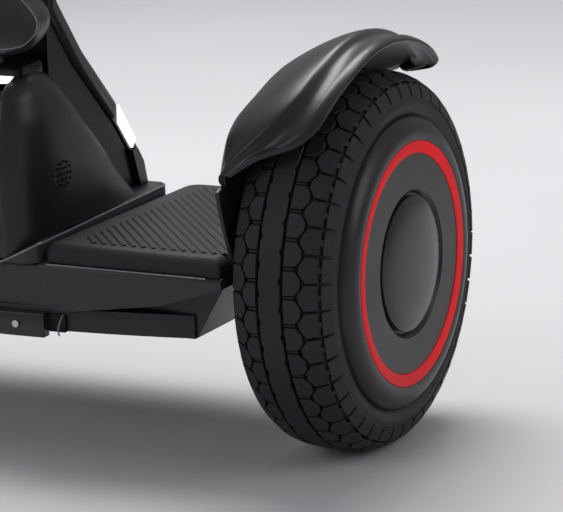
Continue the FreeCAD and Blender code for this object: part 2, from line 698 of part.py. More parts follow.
def build_hood():
    """Domed cover round the front and the flanks of the core."""
    stations = [(36, -110, 52, 154.2, 16), (38, -113, 40, 172, 16), (37.5, -114, 8, 205, 18),
                (34, -111, -22, 236, 18), (26, -103, -44, 256, 16), (16, -92, -58, 263, 10)]
    shape = Part.makeLoft([ring_wire(*station) for station in stations], True, False)
    core = size("dims.core_half") + 0.2
    shape = shape.cut(Part.makeBox(2 * core, 200, 101, Vector(-core, -96.2, 153)))
    shape = shape.cut(Part.makeBox(2 * 24.2, 60, 40, Vector(-24.2, -94.2, 253.8)))
    shape = shape.cut(Part.makeBox(22, 8, 130, Vector(-11, -118, 150)))
    shape = shape.cut(Part.makeBox(24.4, 20, 20, Vector(-12.2, -114, 254.3)))
    shape = shape.cut(Part.makeCylinder(12.2, 6, Vector(31, -66, 190), Vector(1, 0, 0)))
    solids = sorted(shape.Solids, key=lambda solid: solid.Volume)
    item = doc.addObject("Part::Feature", "hood_shape")
    item.Shape = solids[-1]
    keep(item, "front_hood")


# ---------------------------------------------------------------------------
# Steering column
# ---------------------------------------------------------------------------
def build_pivot():
    rings = []
    for index, y in enumerate(("-48.5", "-39")):
        ring = rod(f"pivot_ring_{index}", "dims.pivot_seat", "6", "Y", "0", y, "dims.pivot_z")
        hole = rod(f"pivot_hole_{index}", "dims.pivot_rad + 0.03", "8", "Y", "0", y, "dims.pivot_z")
        rings.append(cut(f"pivot_bearing_{index}", ring, hole))
    keep(group("pivot_bearing_group", *rings), "pivot_bearings")
    keep(rod("pivot_rod", "dims.pivot_rad", "50", "Y", "0", "-61", "dims.pivot_z"), "pivot_shaft")

    coil = doc.addObject("PartDesign::Body", "spring_body")
    wire = new_sketch(coil, "spring_wire", "XZ_Plane")
    add_circle(wire, "7.6", "0", "0.9")
    helix = coil.newObject("PartDesign::AdditiveHelix", "spring_helix")
    helix.Profile = wire
    helix.ReferenceAxis = (wire, ["V_Axis"])
    helix.Mode = "pitch-height-angle"
    helix.Pitch = 2.6
    helix.Height = 10.4
    coil.Placement = FreeCAD.Placement(Vector(), FreeCAD.Rotation(Vector(1, 0, 0), 90))
    place(coil, "0", "-54", "dims.pivot_z")
    keep(coil, "centring_spring")


def build_column():
    middle, height = "dims.pivot_y", "dims.pivot_z"
    knuckle = rod("knuckle_rod", "dims.knuckle_rad", "dims.knuckle_long", "Y", "0", middle, height)
    neck = doc.addObject("Part::Feature", "neck_shape")
    foot_y, foot_z = size("dims.post_y"), size("dims.post_z")
    stations = [(22, -86, -54, 292, 10), (19, -100, -67, 318, 9), (18, foot_y - 15, foot_y + 15, foot_z, 8)]
    neck.Shape = Part.makeLoft([ring_wire(*station) for station in stations], True, False)
    shaft_hole = rod("knuckle_bore", "dims.pivot_rad", "80", "Y", "0", "-70", height)
    spring_room = rod("spring_room", "9.6", "14", "Y", "0", "-59", height)
    keep(cut("knuckle_cut", fuse("knuckle_fuse", knuckle, neck), shaft_hole, spring_room), "column_knuckle")

    cover = padded("pivot_cover_body", "XZ_Plane", [[("-19.5", "2"), ("19.5", "2", "0", "-19.6")]], "3")
    place(cover, "0", f"{middle} - dims.knuckle_long / 2 - 1.5", height)
    keep(cover, "pivot_cover")


def lean(thing):
    """Stand a part on the leaning axis of the post."""
    thing.Placement = FreeCAD.Placement(
        Vector(), FreeCAD.Rotation(Vector(1, 0, 0), -size("dims.post_lean")))
    place(thing, "0", "dims.post_y", "dims.post_z")


def box_tube(name, wide, deep, low, high, corner, hole=None):
    """Rounded rectangular bar along the post axis between two distances.

    The optional hole is its width, depth, corner radius and how far up it reaches.
    """
    body = padded(name, "XY_Plane", [rectangle(f"-({wide}) / 2", f"({wide}) / 2", f"-({deep}) / 2",
                                               f"({deep}) / 2")], high, midplane=False)
    fillet(body, name + "_corners", corner, runs_along(2))
    if low != "0":
        pocketed(body, name + "_trim", "XY_Plane", [rectangle("-60", "60", "-60", "60")], low,
                 reverse=True)
    if hole:
        half_wide, half_deep = f"({hole[0]}) / 2", f"({hole[1]}) / 2"
        pocketed(body, name + "_bore", "XY_Plane",
                 [rectangle(f"-{half_wide}", half_wide, f"-{half_deep}", half_deep)], hole[3], reverse=True)
        fillet(body, name + "_bore_corners", hole[2],
               lambda edge: runs_along(2)(edge) and abs(edge.Vertexes[0].X) < size(half_wide) + 0.01)
    return body


def build_post():
    wide, deep, wall, fit = "dims.post_wide", "dims.post_deep", "dims.post_wall", "dims.slide_fit"
    hole = (f"{wide} - 2 * {wall}", f"{deep} - 2 * {wall}", "5", "dims.post_long")
    tube = box_tube("tube_body", wide, deep, "2.4", "dims.post_long", "8", hole)
    lean(tube)
    keep(tube, "column_tube")

    clamp = box_tube("clamp_body", f"{wide} + 10", f"{deep} + 10", "dims.post_long - 22", "dims.post_long",
                     "9", (f"{wide} + 0.1", f"{deep} + 0.1", "8", "dims.post_long"))
    lean(clamp)
    keep(clamp, "height_clamp")

    lever = padded("lever_body", "YZ_Plane",
                   [[("-2.6", "0", "0", "2.6"), ("-2.6", "-44"), ("2.6", "-44"), ("2.6", "0")]], "14")
    lever.Placement = FreeCAD.Placement(
        Vector(), FreeCAD.Rotation(Vector(1, 0, 0), -size("dims.post_lean")))
    reach, rise = "(dims.post_deep / 2 + 8.2)", "(dims.post_long - 11)"
    place(lever, "0", f"dims.post_y - {reach} * cos(dims.post_lean) + {rise} * sin(dims.post_lean)",
          f"dims.post_z + {reach} * sin(dims.post_lean) + {rise} * cos(dims.post_lean)")
    keep(lever, "clamp_lever")

    slider = box_tube("slider_body", f"{wide} - 2 * {wall} - 2 * {fit}", f"{deep} - 2 * {wall} - 2 * {fit}",
                      "6", "6 + dims.inner_long", "4.6")
    lean(slider)
    keep(slider, "inner_tube")

    head = box_tube("head_body", wide, deep, "182", "234", "8",
                    (f"{wide} - 2 * {wall} - 2 * {fit}", f"{deep} - 2 * {wall} - 2 * {fit}", "4.6",
                     "6 + dims.inner_long"))
    lean(head)
    arms = block("head_arms", "-dims.pad_in + 0.2", "dims.pad_in - 0.2", "-14", "14", "208", "236")
    lean_block(arms, "-dims.pad_in + 0.2", -14, 208)
    keep(fuse("head_fuse", head, arms), "knee_head")

    for name, side in SIDES:
        pad = padded(f"pad_{name}_body", "YZ_Plane",
                     [rectangle("-dims.pad_deep / 2", "dims.pad_deep / 2", "132", "132 + dims.pad_tall")],
                     "dims.pad_thick")
        fillet(pad, f"pad_{name}_corners", "16", runs_along(0))
        pad.Placement = FreeCAD.Placement(
            Vector(), FreeCAD.Rotation(Vector(1, 0, 0), -size("dims.post_lean")))
        place(pad, f"{side} * (dims.pad_in + dims.pad_thick / 2)", "dims.post_y", "dims.post_z")
        keep(pad, f"knee_pad_{name}")


def lean_block(item, x, y, z):
    """Put a box that is described along the post axis into the leaning frame."""
    turn = FreeCAD.Rotation(Vector(1, 0, 0), -size("dims.post_lean"))
    corner = turn.multVec(Vector(size(x), y, z))
    item.setExpression(".Placement.Base.x", None)
    item.setExpression(".Placement.Base.y", None)
    item.setExpression(".Placement.Base.z", None)
    item.Placement = FreeCAD.Placement(
        Vector(0, size("dims.post_y"), size("dims.post_z")) + corner, turn)


for side_name, side_sign in SIDES:
    build_wheel(side_name, side_sign)
    build_fender(side_name, side_sign)
build_frame()
build_battery()
build_mats()
build_clamps()
build_electronics()
build_latch()
build_screws()
build_hump()
build_pivot()
build_column()
build_post()

doc.recompute()

# ---------------------------------------------------------------------------
# Checks and output
# ---------------------------------------------------------------------------
for item in doc.Objects:
    bad = [state for state in item.State if state in ("Invalid", "Error")]
    if bad:
        raise RuntimeError(f"{item.Name} is {bad}")

os.makedirs("parts", exist_ok=True)
for old in os.listdir("parts"):
    os.remove(os.path.join("parts", old))
for node in nodes:
    if node.Shape.isNull() or not node.Shape.isValid() or not node.Shape.Solids:
        raise RuntimeError(f"{node.Label} has no valid solid")
    node.Shape.exportStep(os.path.join("parts", node.Label + ".step"))
print(len(nodes), "nodes written")
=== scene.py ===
import json
import math

import bmesh
import bpy
import numpy as np
from mathutils import Matrix, Vector


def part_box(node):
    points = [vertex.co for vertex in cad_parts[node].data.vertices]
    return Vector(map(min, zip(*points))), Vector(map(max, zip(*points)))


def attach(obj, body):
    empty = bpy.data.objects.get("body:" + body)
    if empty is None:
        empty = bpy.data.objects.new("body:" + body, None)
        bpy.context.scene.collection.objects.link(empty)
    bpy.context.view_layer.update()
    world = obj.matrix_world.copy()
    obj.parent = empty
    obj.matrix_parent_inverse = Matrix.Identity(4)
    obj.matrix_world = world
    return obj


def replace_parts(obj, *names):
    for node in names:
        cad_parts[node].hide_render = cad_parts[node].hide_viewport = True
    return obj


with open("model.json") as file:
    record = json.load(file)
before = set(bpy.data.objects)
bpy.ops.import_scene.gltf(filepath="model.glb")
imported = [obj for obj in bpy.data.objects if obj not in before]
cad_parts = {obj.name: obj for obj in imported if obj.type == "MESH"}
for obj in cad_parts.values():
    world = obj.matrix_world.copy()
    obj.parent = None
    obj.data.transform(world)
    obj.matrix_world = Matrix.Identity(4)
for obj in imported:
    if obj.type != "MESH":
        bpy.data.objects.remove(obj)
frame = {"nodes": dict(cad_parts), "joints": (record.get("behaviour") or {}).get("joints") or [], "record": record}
NODES = frame["nodes"]
JOINTS = {joint["name"]: joint for joint in frame["joints"]}
SIDES = (("left", -1), ("right", 1))
MM = 0.001


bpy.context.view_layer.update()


# ---------------------------------------------------------------------------
# Materials: every pattern works in object space, in metres
# ---------------------------------------------------------------------------
class Nodes:
    """Small wrapper that keeps a node tree readable."""

    def __init__(self, name):
        self.material = bpy.data.materials.new(name)
        self.material.use_nodes = True
        self.tree = self.material.node_tree
        self.tree.nodes.clear()
        self.out = self.add("ShaderNodeOutputMaterial")
        self.shader = self.add("ShaderNodeBsdfPrincipled")
        self.link(self.shader.outputs["BSDF"], self.out.inputs["Surface"])
        self.place = self.add("ShaderNodeTexCoord").outputs["Object"]

    def add(self, kind):
        return self.tree.nodes.new(kind)

    def link(self, a, b):
        self.tree.links.new(a, b)

    def noise(self, scale, detail=4.0, stretch=None):
        texture = self.add("ShaderNodeTexNoise")
        texture.inputs["Scale"].default_value = scale
        texture.inputs["Detail"].default_value = detail
        source = self.place
        if stretch:
            mapping = self.add("ShaderNodeMapping")
            mapping.inputs["Scale"].default_value = stretch
            self.link(source, mapping.inputs["Vector"])
            source = mapping.outputs["Vector"]
        self.link(source, texture.inputs["Vector"])
        return texture.outputs["Fac"]

    def cells(self, scale):
        texture = self.add("ShaderNodeTexVoronoi")
        texture.inputs["Scale"].default_value = scale
        self.link(self.place, texture.inputs["Vector"])
        return texture.outputs["Distance"]

    def spread(self, value, low, high, start=0.35, stop=0.65):
        """Map a pattern onto low..high."""
        node = self.add("ShaderNodeMapRange")
        node.inputs["From Min"].default_value = start
        node.inputs["From Max"].default_value = stop
        node.inputs["To Min"].default_value = low
        node.inputs["To Max"].default_value = high
        self.link(value, node.inputs["Value"])
        return node.outputs["Result"]

    def colours(self, value, stops):
        ramp = self.add("ShaderNodeValToRGB")
        while len(ramp.color_ramp.elements) < len(stops):
            ramp.color_ramp.elements.new(0.5)
        for element, (place, colour) in zip(ramp.color_ramp.elements, stops):
            element.position = place
            element.color = (*colour, 1)
        self.link(value, ramp.inputs["Fac"])
        self.link(ramp.outputs["Color"], self.shader.inputs["Base Color"])

    def bumps(self, layers):
        """Stack of (pattern, height in metres)."""
        normal = None
        for pattern, height in layers:
            bump = self.add("ShaderNodeBump")
            bump.inputs["Distance"].default_value = height
            bump.inputs["Strength"].default_value = 1.0
            self.link(pattern, bump.inputs["Height"])
            if normal is not None:
                self.link(normal, bump.inputs["Normal"])
            normal = bump.outputs["Normal"]
        self.link(normal, self.shader.inputs["Normal"])


def shade(colour, factor):
    return tuple(min(1.0, value * factor) for value in colour)


def moulded_plastic(name, colour, rough, grain=900, grain_height=0.00004, coat=0.0):
    """Satin moulded plastic: fine spark-erosion grain, faint handling smudges."""
    nodes = Nodes(name)
    grain_map = nodes.noise(grain, 3)
    smudge = nodes.noise(14, 5)
    nodes.colours(smudge, [(0.3, shade(colour, 0.86)), (0.7, shade(colour, 1.18))])
    nodes.link(nodes.spread(smudge, rough * 0.88, rough * 1.14), nodes.shader.inputs["Roughness"])
    nodes.bumps([(nodes.noise(30, 2), 0.00006), (grain_map, grain_height)])
    nodes.shader.inputs["Coat Weight"].default_value = coat
    nodes.shader.inputs["Coat Roughness"].default_value = 0.08
    nodes.shader.inputs["Specular IOR Level"].default_value = 0.38
    return nodes.material


def gloss_plastic(name, colour):
    """Piano-finish plastic with very slight orange peel and hairline swirls."""
    nodes = Nodes(name)
    peel = nodes.noise(220, 2)
    swirl = nodes.noise(60, 8, stretch=(1, 6, 1))
    nodes.colours(swirl, [(0.35, shade(colour, 0.9)), (0.7, shade(colour, 1.2))])
    nodes.link(nodes.spread(swirl, 0.07, 0.14), nodes.shader.inputs["Roughness"])
    nodes.bumps([(peel, 0.00001)])
    nodes.shader.inputs["Coat Weight"].default_value = 0.5
    nodes.shader.inputs["Coat Roughness"].default_value = 0.04
    return nodes.material


def tyre_rubber(name, colour, rough):
    """Tyre rubber: mould-fine grain, dusty bloom and faint run-in scuffs."""
    nodes = Nodes(name)
    bloom = nodes.noise(22, 6)
    nodes.colours(bloom, [(0.3, shade(colour, 0.8)), (0.72, shade(colour, 1.35))])
    nodes.link(nodes.spread(bloom, rough * 0.85, rough * 1.12), nodes.shader.inputs["Roughness"])
    nodes.bumps([(nodes.noise(120, 4), 0.00012), (nodes.noise(1400, 2), 0.00004)])
    nodes.shader.inputs["Specular IOR Level"].default_value = 0.3
    return nodes.material


def pebbled_rubber(name, colour, rough):
    """Soft-touch rubber with a leather-like pebble."""
    nodes = Nodes(name)
    pebble = nodes.cells(620)
    bloom = nodes.noise(18, 5)
    nodes.colours(bloom, [(0.3, shade(colour, 0.85)), (0.7, shade(colour, 1.25))])
    nodes.link(nodes.spread(bloom, rough * 0.9, rough * 1.1), nodes.shader.inputs["Roughness"])
    nodes.bumps([(pebble, 0.00022), (nodes.noise(1800, 2), 0.00003)])
    nodes.shader.inputs["Specular IOR Level"].default_value = 0.3
    return nodes.material


def coated_metal(name, colour, rough, metallic=0.0):
    """Powder coat over a casting: small orange peel and slight shade drift."""
    nodes = Nodes(name)
    drift = nodes.noise(10, 4)
    nodes.colours(drift, [(0.3, shade(colour, 0.88)), (0.7, shade(colour, 1.15))])
    nodes.link(nodes.spread(nodes.noise(260, 3), rough * 0.85, rough * 1.15),
               nodes.shader.inputs["Roughness"])
    nodes.bumps([(nodes.noise(420, 3), 0.00005)])
    nodes.shader.inputs["Metallic"].default_value = metallic
    return nodes.material


def brushed_metal(name, colour, rough, stretch=(1, 40, 40)):
    """Machined metal: fine lines from the tool and a little tarnish."""
    nodes = Nodes(name)
    lines = nodes.noise(120, 6, stretch=stretch)
    tarnish = nodes.noise(25, 5)
    nodes.colours(tarnish, [(0.3, shade(colour, 0.8)), (0.7, shade(colour, 1.08))])
    nodes.link(nodes.spread(lines, rough * 0.7, rough * 1.4), nodes.shader.inputs["Roughness"])
    nodes.bumps([(lines, 0.00002)])
    nodes.shader.inputs["Metallic"].default_value = 1.0
    return nodes.material


def lit_lens(name, colour, strength):
    """Frosted white lens with the light source behind it."""
    nodes = Nodes(name)
    frost = nodes.noise(300, 4)
    nodes.colours(frost, [(0.3, shade(colour, 0.9)), (0.7, colour)])
    nodes.link(nodes.spread(frost, 0.2, 0.34), nodes.shader.inputs["Roughness"])
    nodes.bumps([(nodes.noise(500, 2), 0.00003)])
    nodes.shader.inputs["Emission Color"].default_value = (*colour, 1)
    nodes.shader.inputs["Emission Strength"].default_value = strength
    return nodes.material


def circuit_board(name, colour):
    """Solder mask with darker tracks."""
    nodes = Nodes(name)
    tracks = nodes.cells(180)
    nodes.colours(tracks, [(0.1, shade(colour, 0.5)), (0.5, shade(colour, 1.4))])
    nodes.link(nodes.spread(tracks, 0.25, 0.4), nodes.shader.inputs["Roughness"])
    nodes.bumps([(tracks, 0.0002)])
    return nodes.material


MATERIALS = {
    "tyre": tyre_rubber("tyre_rubber", (0.016, 0.016, 0.017), 0.58),
    "mat": pebbled_rubber("mat_rubber", (0.014, 0.014, 0.015), 0.6),
    "shell": moulded_plastic("satin_shell", (0.013, 0.013, 0.0145), 0.36),
    "gloss": gloss_plastic("piano_black", (0.006, 0.006, 0.007)),
    "frame": coated_metal("coated_casting", (0.014, 0.0145, 0.016), 0.42),
    "steel": brushed_metal("turned_steel", (0.5, 0.5, 0.52), 0.32),
    "alloy": brushed_metal("cast_alloy", (0.6, 0.6, 0.62), 0.4),
    "red": moulded_plastic("red_ring", (0.86, 0.0, 0.006), 0.62, grain_height=0.00001),
    "lamp": lit_lens("white_lens", (0.95, 0.97, 1.0), 1.2),
    "board": circuit_board("solder_mask", (0.02, 0.13, 0.05)),
    "cell": moulded_plastic("cell_sleeve", (0.06, 0.22, 0.42), 0.3),
    "magnet": brushed_metal("sintered_iron", (0.22, 0.22, 0.23), 0.5),
    "pad": pebbled_rubber("pad_skin", (0.02, 0.02, 0.021), 0.55),
    "brass": brushed_metal("brass", (0.75, 0.55, 0.25), 0.3),
}
CORE_GLOSS = moulded_plastic("core_gloss", (0.0035, 0.0035, 0.004), 0.3, grain_height=0.000004)
CORE_GLOSS.node_tree.nodes["Principled BSDF"].inputs["Specular IOR Level"].default_value = 0.16
RIDGE_PLASTIC = moulded_plastic("ridge_plastic", (0.024, 0.024, 0.026), 0.34)
# Pale coat for the thin tubes along edges: painted highlight lines that stand in for light caught on those edges.
PAINTED_HIGHLIGHT = coated_metal("painted_highlight_edge", (0.19, 0.19, 0.2), 0.25, metallic=0.3)
FENDER_PLASTIC = moulded_plastic("fender_plastic", (0.016, 0.016, 0.0175), 0.3)
CAP_PLASTIC = moulded_plastic("cap_plastic", (0.017, 0.018, 0.021), 0.24, grain_height=0.000012)
# Near-black: the latch box's real dark seams, and painted shade in the latch recess and the speaker holes.
DARK_SEAM_AND_SHADE = moulded_plastic("dark_seam_and_painted_shade", (0.003, 0.003, 0.003), 0.8)


NODE_FINISH = {"hump_core": CORE_GLOSS, "spine_cover": RIDGE_PLASTIC}


def finish_cad_nodes():
    """CAD nodes that stay in view get their slot's material and softened edges."""
    for part in frame["record"]["subparts"]:
        node = NODES[part["node"]]
        node.data.materials.clear()
        node.data.materials.append(NODE_FINISH.get(part["node"], MATERIALS[part["material_slot"]]))
        weld = node.modifiers.new("weld", "WELD")
        weld.merge_threshold = 0.00001
        bevel = node.modifiers.new("bevel", "BEVEL")
        bevel.width = 0.0007
        bevel.segments = 2
        bevel.limit_method = "ANGLE"
        bevel.angle_limit = math.radians(35)
        bevel.harden_normals = True


# ---------------------------------------------------------------------------
# Mesh helpers
# ---------------------------------------------------------------------------
def add_piece(name, verts, faces, material, body, smooth_angle=35.0):
    mesh = bpy.data.meshes.new(name)
    mesh.from_pydata([tuple(vert) for vert in verts], [], faces)
    mesh.validate()
    tool = bmesh.new()
    tool.from_mesh(mesh)
    bmesh.ops.recalc_face_normals(tool, faces=tool.faces)
    tool.to_mesh(mesh)
    tool.free()
    mesh.materials.append(material)
    mesh.shade_smooth()
    mesh.set_sharp_from_angle(angle=math.radians(smooth_angle))
    piece = bpy.data.objects.new(name, mesh)
    bpy.context.scene.collection.objects.link(piece)
    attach(piece, body)
    return piece


def add_modifier(piece, kind, **settings):
    modifier = piece.modifiers.new(kind.lower(), kind)
    for key, value in settings.items():
        setattr(modifier, key, value)
    return modifier


def grid_faces(rows, columns, wrap_rows=False, wrap_columns=False):
    """Quads over a rows x columns grid of vertices."""
    faces = []
    for row in range(rows if wrap_rows else rows - 1):
        for column in range(columns if wrap_columns else columns - 1):
            after_row, after_column = (row + 1) % rows, (column + 1) % columns
            faces.append((row * columns + column, row * columns + after_column,
                          after_row * columns + after_column, after_row * columns + column))
    return faces


def revolve(name, section, centre, outward, material, body, segments=192, closed=True,
            smooth_angle=30.0):
    """Turn (distance along the axle, radius) points about the wheel's axis."""
    verts = []
    for index in range(segments):
        turn = 2 * math.pi * index / segments
        for along, radius in section:
            verts.append((centre.x + outward * along, centre.y + radius * math.sin(turn),
                          centre.z + radius * math.cos(turn)))
    faces = grid_faces(segments, len(section), wrap_rows=True, wrap_columns=closed)
    return add_piece(name, verts, faces, material, body, smooth_angle)


def arc_points(start, middle, stop, count):
    """Points of the quadratic curve from start to stop, with middle as its control point."""
    points = []
    for index in range(count):
        t = index / (count - 1)
        points.append(tuple((1 - t) ** 2 * a + 2 * t * (1 - t) * b + t * t * c
                            for a, b, c in zip(start, middle, stop)))
    return points


def smoothstep(value, low, high):
    t = min(1.0, max(0.0, (value - low) / (high - low)))
    return t * t * (3 - 2 * t)


# ---------------------------------------------------------------------------
# Wheels
# ---------------------------------------------------------------------------
def wheel_facts(name, side):
    low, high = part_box(f"tyre_{name}")
    middle = (low + high) / 2
    return {
        "side": side, "name": name, "body": f"wheel_{name}", "centre": middle,
        "radius": (high.z - low.z) / 2, "half": (high.x - low.x) / 2,
    }


def crown_radius(wheel, across):
    """Tread radius at a distance from the tyre's middle plane: a cubic superellipse."""
    ratio = min(0.999, abs(across) / wheel["half"])
    depth = wheel["radius"] * 0.2
    return wheel["radius"] - depth + depth * (1 - ratio ** 3) ** (1 / 3)


def tread_point(wheel, across, along, lift):
    """A place on the tread. along is the arc length and lift is the height over the tread face."""
    step = 0.0002
    slope = (crown_radius(wheel, across + step) - crown_radius(wheel, across - step)) / (2 * step)
    length = math.hypot(1, slope)
    x = across - lift * slope / length
    radius = crown_radius(wheel, across) + lift / length
    turn = along / wheel["radius"]
    centre = wheel["centre"]
    return (centre.x + wheel["side"] * x, centre.y + radius * math.sin(turn),
            centre.z + radius * math.cos(turn))


def tread_block(wheel, outline, depth, verts, faces, edge=0.00045, top=0.0):
    """Raised block with a chamfered top edge over an outline of (across, along) points."""
    count = len(outline)
    middle = (sum(p[0] for p in outline) / count, sum(p[1] for p in outline) / count)
    base = len(verts)
    for lift, inset in ((-depth, -0.0003), (top - edge, 0.0), (top, edge)):
        for across, along in outline:
            away = math.hypot(across - middle[0], along - middle[1]) or 1.0
            keep = 1 - inset / away
            verts.append(tread_point(wheel, middle[0] + (across - middle[0]) * keep,
                                     middle[1] + (along - middle[1]) * keep, lift))
    for ring in range(2):
        for index in range(count):
            after = (index + 1) % count
            faces.append((base + ring * count + index, base + ring * count + after,
                          base + (ring + 1) * count + after, base + (ring + 1) * count + index))
    faces.append(tuple(base + 2 * count + index for index in range(count)))


TREAD_PITCHES = 43
TREAD_DEPTH = 0.0042
RIB_HALF = 0.0079
RIB_SHIFT = -0.002


def shoulder_strip(low, high, half_length, count=6):
    """Outline of a lug that wraps over the shoulder, with points all along its long sides."""
    steps = [low + (high - low) * (index / (count - 1)) ** 0.6 for index in range(count)]
    return [(x, -half_length) for x in steps] + [(x, half_length) for x in reversed(steps)]


def build_tread(wheel):
    """Ribbed centre, two interlocking rows of six-sided blocks and shoulder lugs on each side."""
    pitch = 2 * math.pi * wheel["radius"] / TREAD_PITCHES
    half = pitch / 2
    gap = 0.0015
    verts, faces = [], []
    inner_row = [(0.0100, gap - half), (0.0178, gap - half), (0.0216, -0.0032), (0.0216, 0.0032),
                 (0.0178, half - gap), (0.0100, half - gap)]
    outer_row = [(0.0246, 0.0009 - half), (0.0322, 0.0009 - half), (0.0322, half - 0.0009),
                 (0.0246, half - 0.0009), (0.0204, 0.0028), (0.0204, -0.0028)]
    tie_bar = [(0.0100, -0.0006), (0.0176, -0.0006), (0.0176, 0.0006), (0.0100, 0.0006)]
    lug = shoulder_strip(0.0338, 0.0376, half - 0.0011)
    web = [(0.0310, -0.0022), (0.0345, -0.0022), (0.0345, 0.0022), (0.0310, 0.0022)]
    for index in range(TREAD_PITCHES):
        for mirror in (-1, 1):
            shift = index * pitch + (half if mirror < 0 else 0)
            narrow = 1.0 if mirror > 0 else 0.865

            def moved(outline, extra=0.0):
                points = [(RIB_SHIFT + mirror * (RIB_HALF + (x - RIB_HALF) * narrow), y + shift + extra)
                          for x, y in outline]
                return points if mirror > 0 else points[::-1]

            tread_block(wheel, moved(inner_row), TREAD_DEPTH, verts, faces)
            tread_block(wheel, moved(outer_row, half), TREAD_DEPTH, verts, faces)
            tread_block(wheel, moved(lug, half), TREAD_DEPTH * 0.8, verts, faces, edge=0.0004)
            tread_block(wheel, moved(tie_bar, half), TREAD_DEPTH, verts, faces, edge=0.0003, top=-0.001)
            tread_block(wheel, moved(web, half), TREAD_DEPTH, verts, faces, edge=0.0002, top=-0.0007)
    steps = 10
    base = len(verts)
    for index in range(TREAD_PITCHES * steps):
        along = index * pitch / steps
        cut_right = 0.0012 if index % steps in (0, 1) else 0.0
        cut_left = 0.0012 if index % steps in (5, 6) else 0.0
        right, left = RIB_HALF - cut_right, RIB_HALF - cut_left
        for across, lift in ((-left, -TREAD_DEPTH), (-left, -0.0005), (0.0005 - left, 0), (0, 0),
                             (right - 0.0005, 0), (right, -0.0005), (right, -TREAD_DEPTH)):
            verts.append(tread_point(wheel, across + RIB_SHIFT, along, lift))
    faces += [tuple(base + corner for corner in face)
              for face in grid_faces(TREAD_PITCHES * steps, 7, wrap_rows=True)]
    return add_piece(f"tread_{wheel['name']}", verts, faces, MATERIALS["tyre"], wheel["body"], 28)


def build_carcass(wheel):
    """Casing below the tread, side walls with moulded lines, closed towards the rim."""
    half, radius = wheel["half"], wheel["radius"]
    crown = []
    for index in range(29):
        across = half * 0.972 * math.sin(math.pi / 2 * (index - 14) / 14)
        crown.append((across, crown_radius(wheel, across) - TREAD_DEPTH * 0.94))
    cover = (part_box("hub_cover_right")[1].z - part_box("hub_cover_right")[0].z) / 2
    wall = [(half - 0.0006, radius - 0.0212), (half - 0.0001, radius - 0.0225),
            (half - 0.0006, radius - 0.0238), (half - 0.0009, radius - 0.0262), (half - 0.002, cover + 0.0004),
            (half - 0.0034, cover - 0.0006), (half - 0.0052, cover - 0.009), (half - 0.006, radius - 0.0468)]
    section = [(-x, r) for x, r in reversed(wall)] + crown + wall
    return revolve(f"casing_{wheel['name']}", section, wheel["centre"], wheel["side"], MATERIALS["tyre"],
                   wheel["body"], smooth_angle=50)


def build_hub(wheel):
    """Cover with a convex ring, red accent ring and domed cap."""
    name, side, body, centre = wheel["name"], wheel["side"], wheel["body"], wheel["centre"]
    reach = {}
    for node in ("hub_cover", "accent_ring", "centre_cap"):
        low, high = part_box(f"{node}_{name}")
        near, far = sorted((abs(low.x - centre.x), abs(high.x - centre.x)))
        reach[node] = (near, far, (high.z - low.z) / 2)
    near, far, cover = reach["hub_cover"]
    ring_near, ring_far, ring = reach["accent_ring"]
    cap_near, cap_far, cap = reach["centre_cap"]
    ring_in = ring - 0.0089

    step = 0.0011
    convex = arc_points((near + 0.0018, cover), (far + 0.0016, cover - 0.006),
                        (far + 0.0004, ring + 0.0009), 18)
    convex[0] = (near + 0.0001, cover)
    seat = [(far + 0.0002, ring + 0.0001), (far - 0.0026, ring), (far - 0.0026, ring_in),
            (far - step, ring_in - 0.0001), (far - step, cap + 0.0046)]
    well = [(far - step - 0.0005, cap + 0.0040), (cap_near + 0.0004, cap + 0.0022),
            (cap_near - 0.0002, cap + 0.0014), (cap_near - 0.0006, cap - 0.012)]
    back = [(near, cap - 0.012), (near, cover - 0.006)]
    cover_piece = revolve(f"hub_shell_{name}", convex + seat + well + back, centre, side,
                          MATERIALS["shell"], body)
    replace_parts(cover_piece, f"hub_cover_{name}")

    low_edge = ring_far - step
    band = [(ring_near, ring_in + 0.0002), (low_edge - 0.0004, ring_in + 0.0002),
            (low_edge, ring_in + 0.0006), (ring_far - 0.0001, ring - 0.0009),
            (ring_far - 0.0003, ring - 0.0003), (ring_near, ring - 0.0002)]
    ring_piece = revolve(f"red_ring_{name}", band, centre, side, MATERIALS["red"], body, 256)
    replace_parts(ring_piece, f"accent_ring_{name}")

    rim = [(cap_near, 0.0002), (cap_near, cap - 0.0008), (cap_near + 0.0012, cap - 0.0001),
           (cap_near + 0.0024, cap)]
    dome = arc_points((cap_near + 0.0034, cap - 0.0003), (cap_far - 0.0003, cap * 0.78),
                      (cap_far, 0.0002), 16)
    cap_piece = revolve(f"hub_cap_{name}", rim + dome, centre, side, CAP_PLASTIC, body)
    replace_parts(cap_piece, f"centre_cap_{name}")


def build_wheels():
    for name, side in SIDES:
        wheel = wheel_facts(name, side)
        casing = build_carcass(wheel)
        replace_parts(casing, f"tyre_{name}")
        build_tread(wheel)
        build_hub(wheel)


# ---------------------------------------------------------------------------
# Fenders
# ---------------------------------------------------------------------------
# Key sections of the roof: angle from the top (front is negative), then in millimetres the crest's and the
# lip's distance from the inner edge and the crest's change in radius. The roof runs smoothly through them.
ROOF_KEYS = [(-56, 8, 14, -15), (-51, 19, 33, -10), (-46, 30.5, 59, -6.5), (-41, 41, 69.5, -3.5),
             (-33, 51, 74.5, -1), (-20, 54.5, 78, 0), (20, 54.5, 78, 0), (33, 53, 74.5, -1), (37, 49, 67, -2.5),
             (39.7, 38, 48, -5)]
SLOPE_SHARES = [0.0, 0.03, 0.09, 0.17, 0.27, 0.40, 0.53, 0.66, 0.78, 0.88, 0.96, 1.0]
BAND_SHARES = [0.05, 0.12, 0.2, 0.3, 0.4, 0.5, 0.58, 0.66, 0.76, 0.86, 0.94, 1.0]


def slope_drop(share):
    """Drop below the crest in mm, from the inner edge (0) to the crest (1): a curve with a rounded edge."""
    return 25.5 * (1 - share) ** 1.45 + 3.0 * max(0.0, 1 - share / 0.2) ** 2


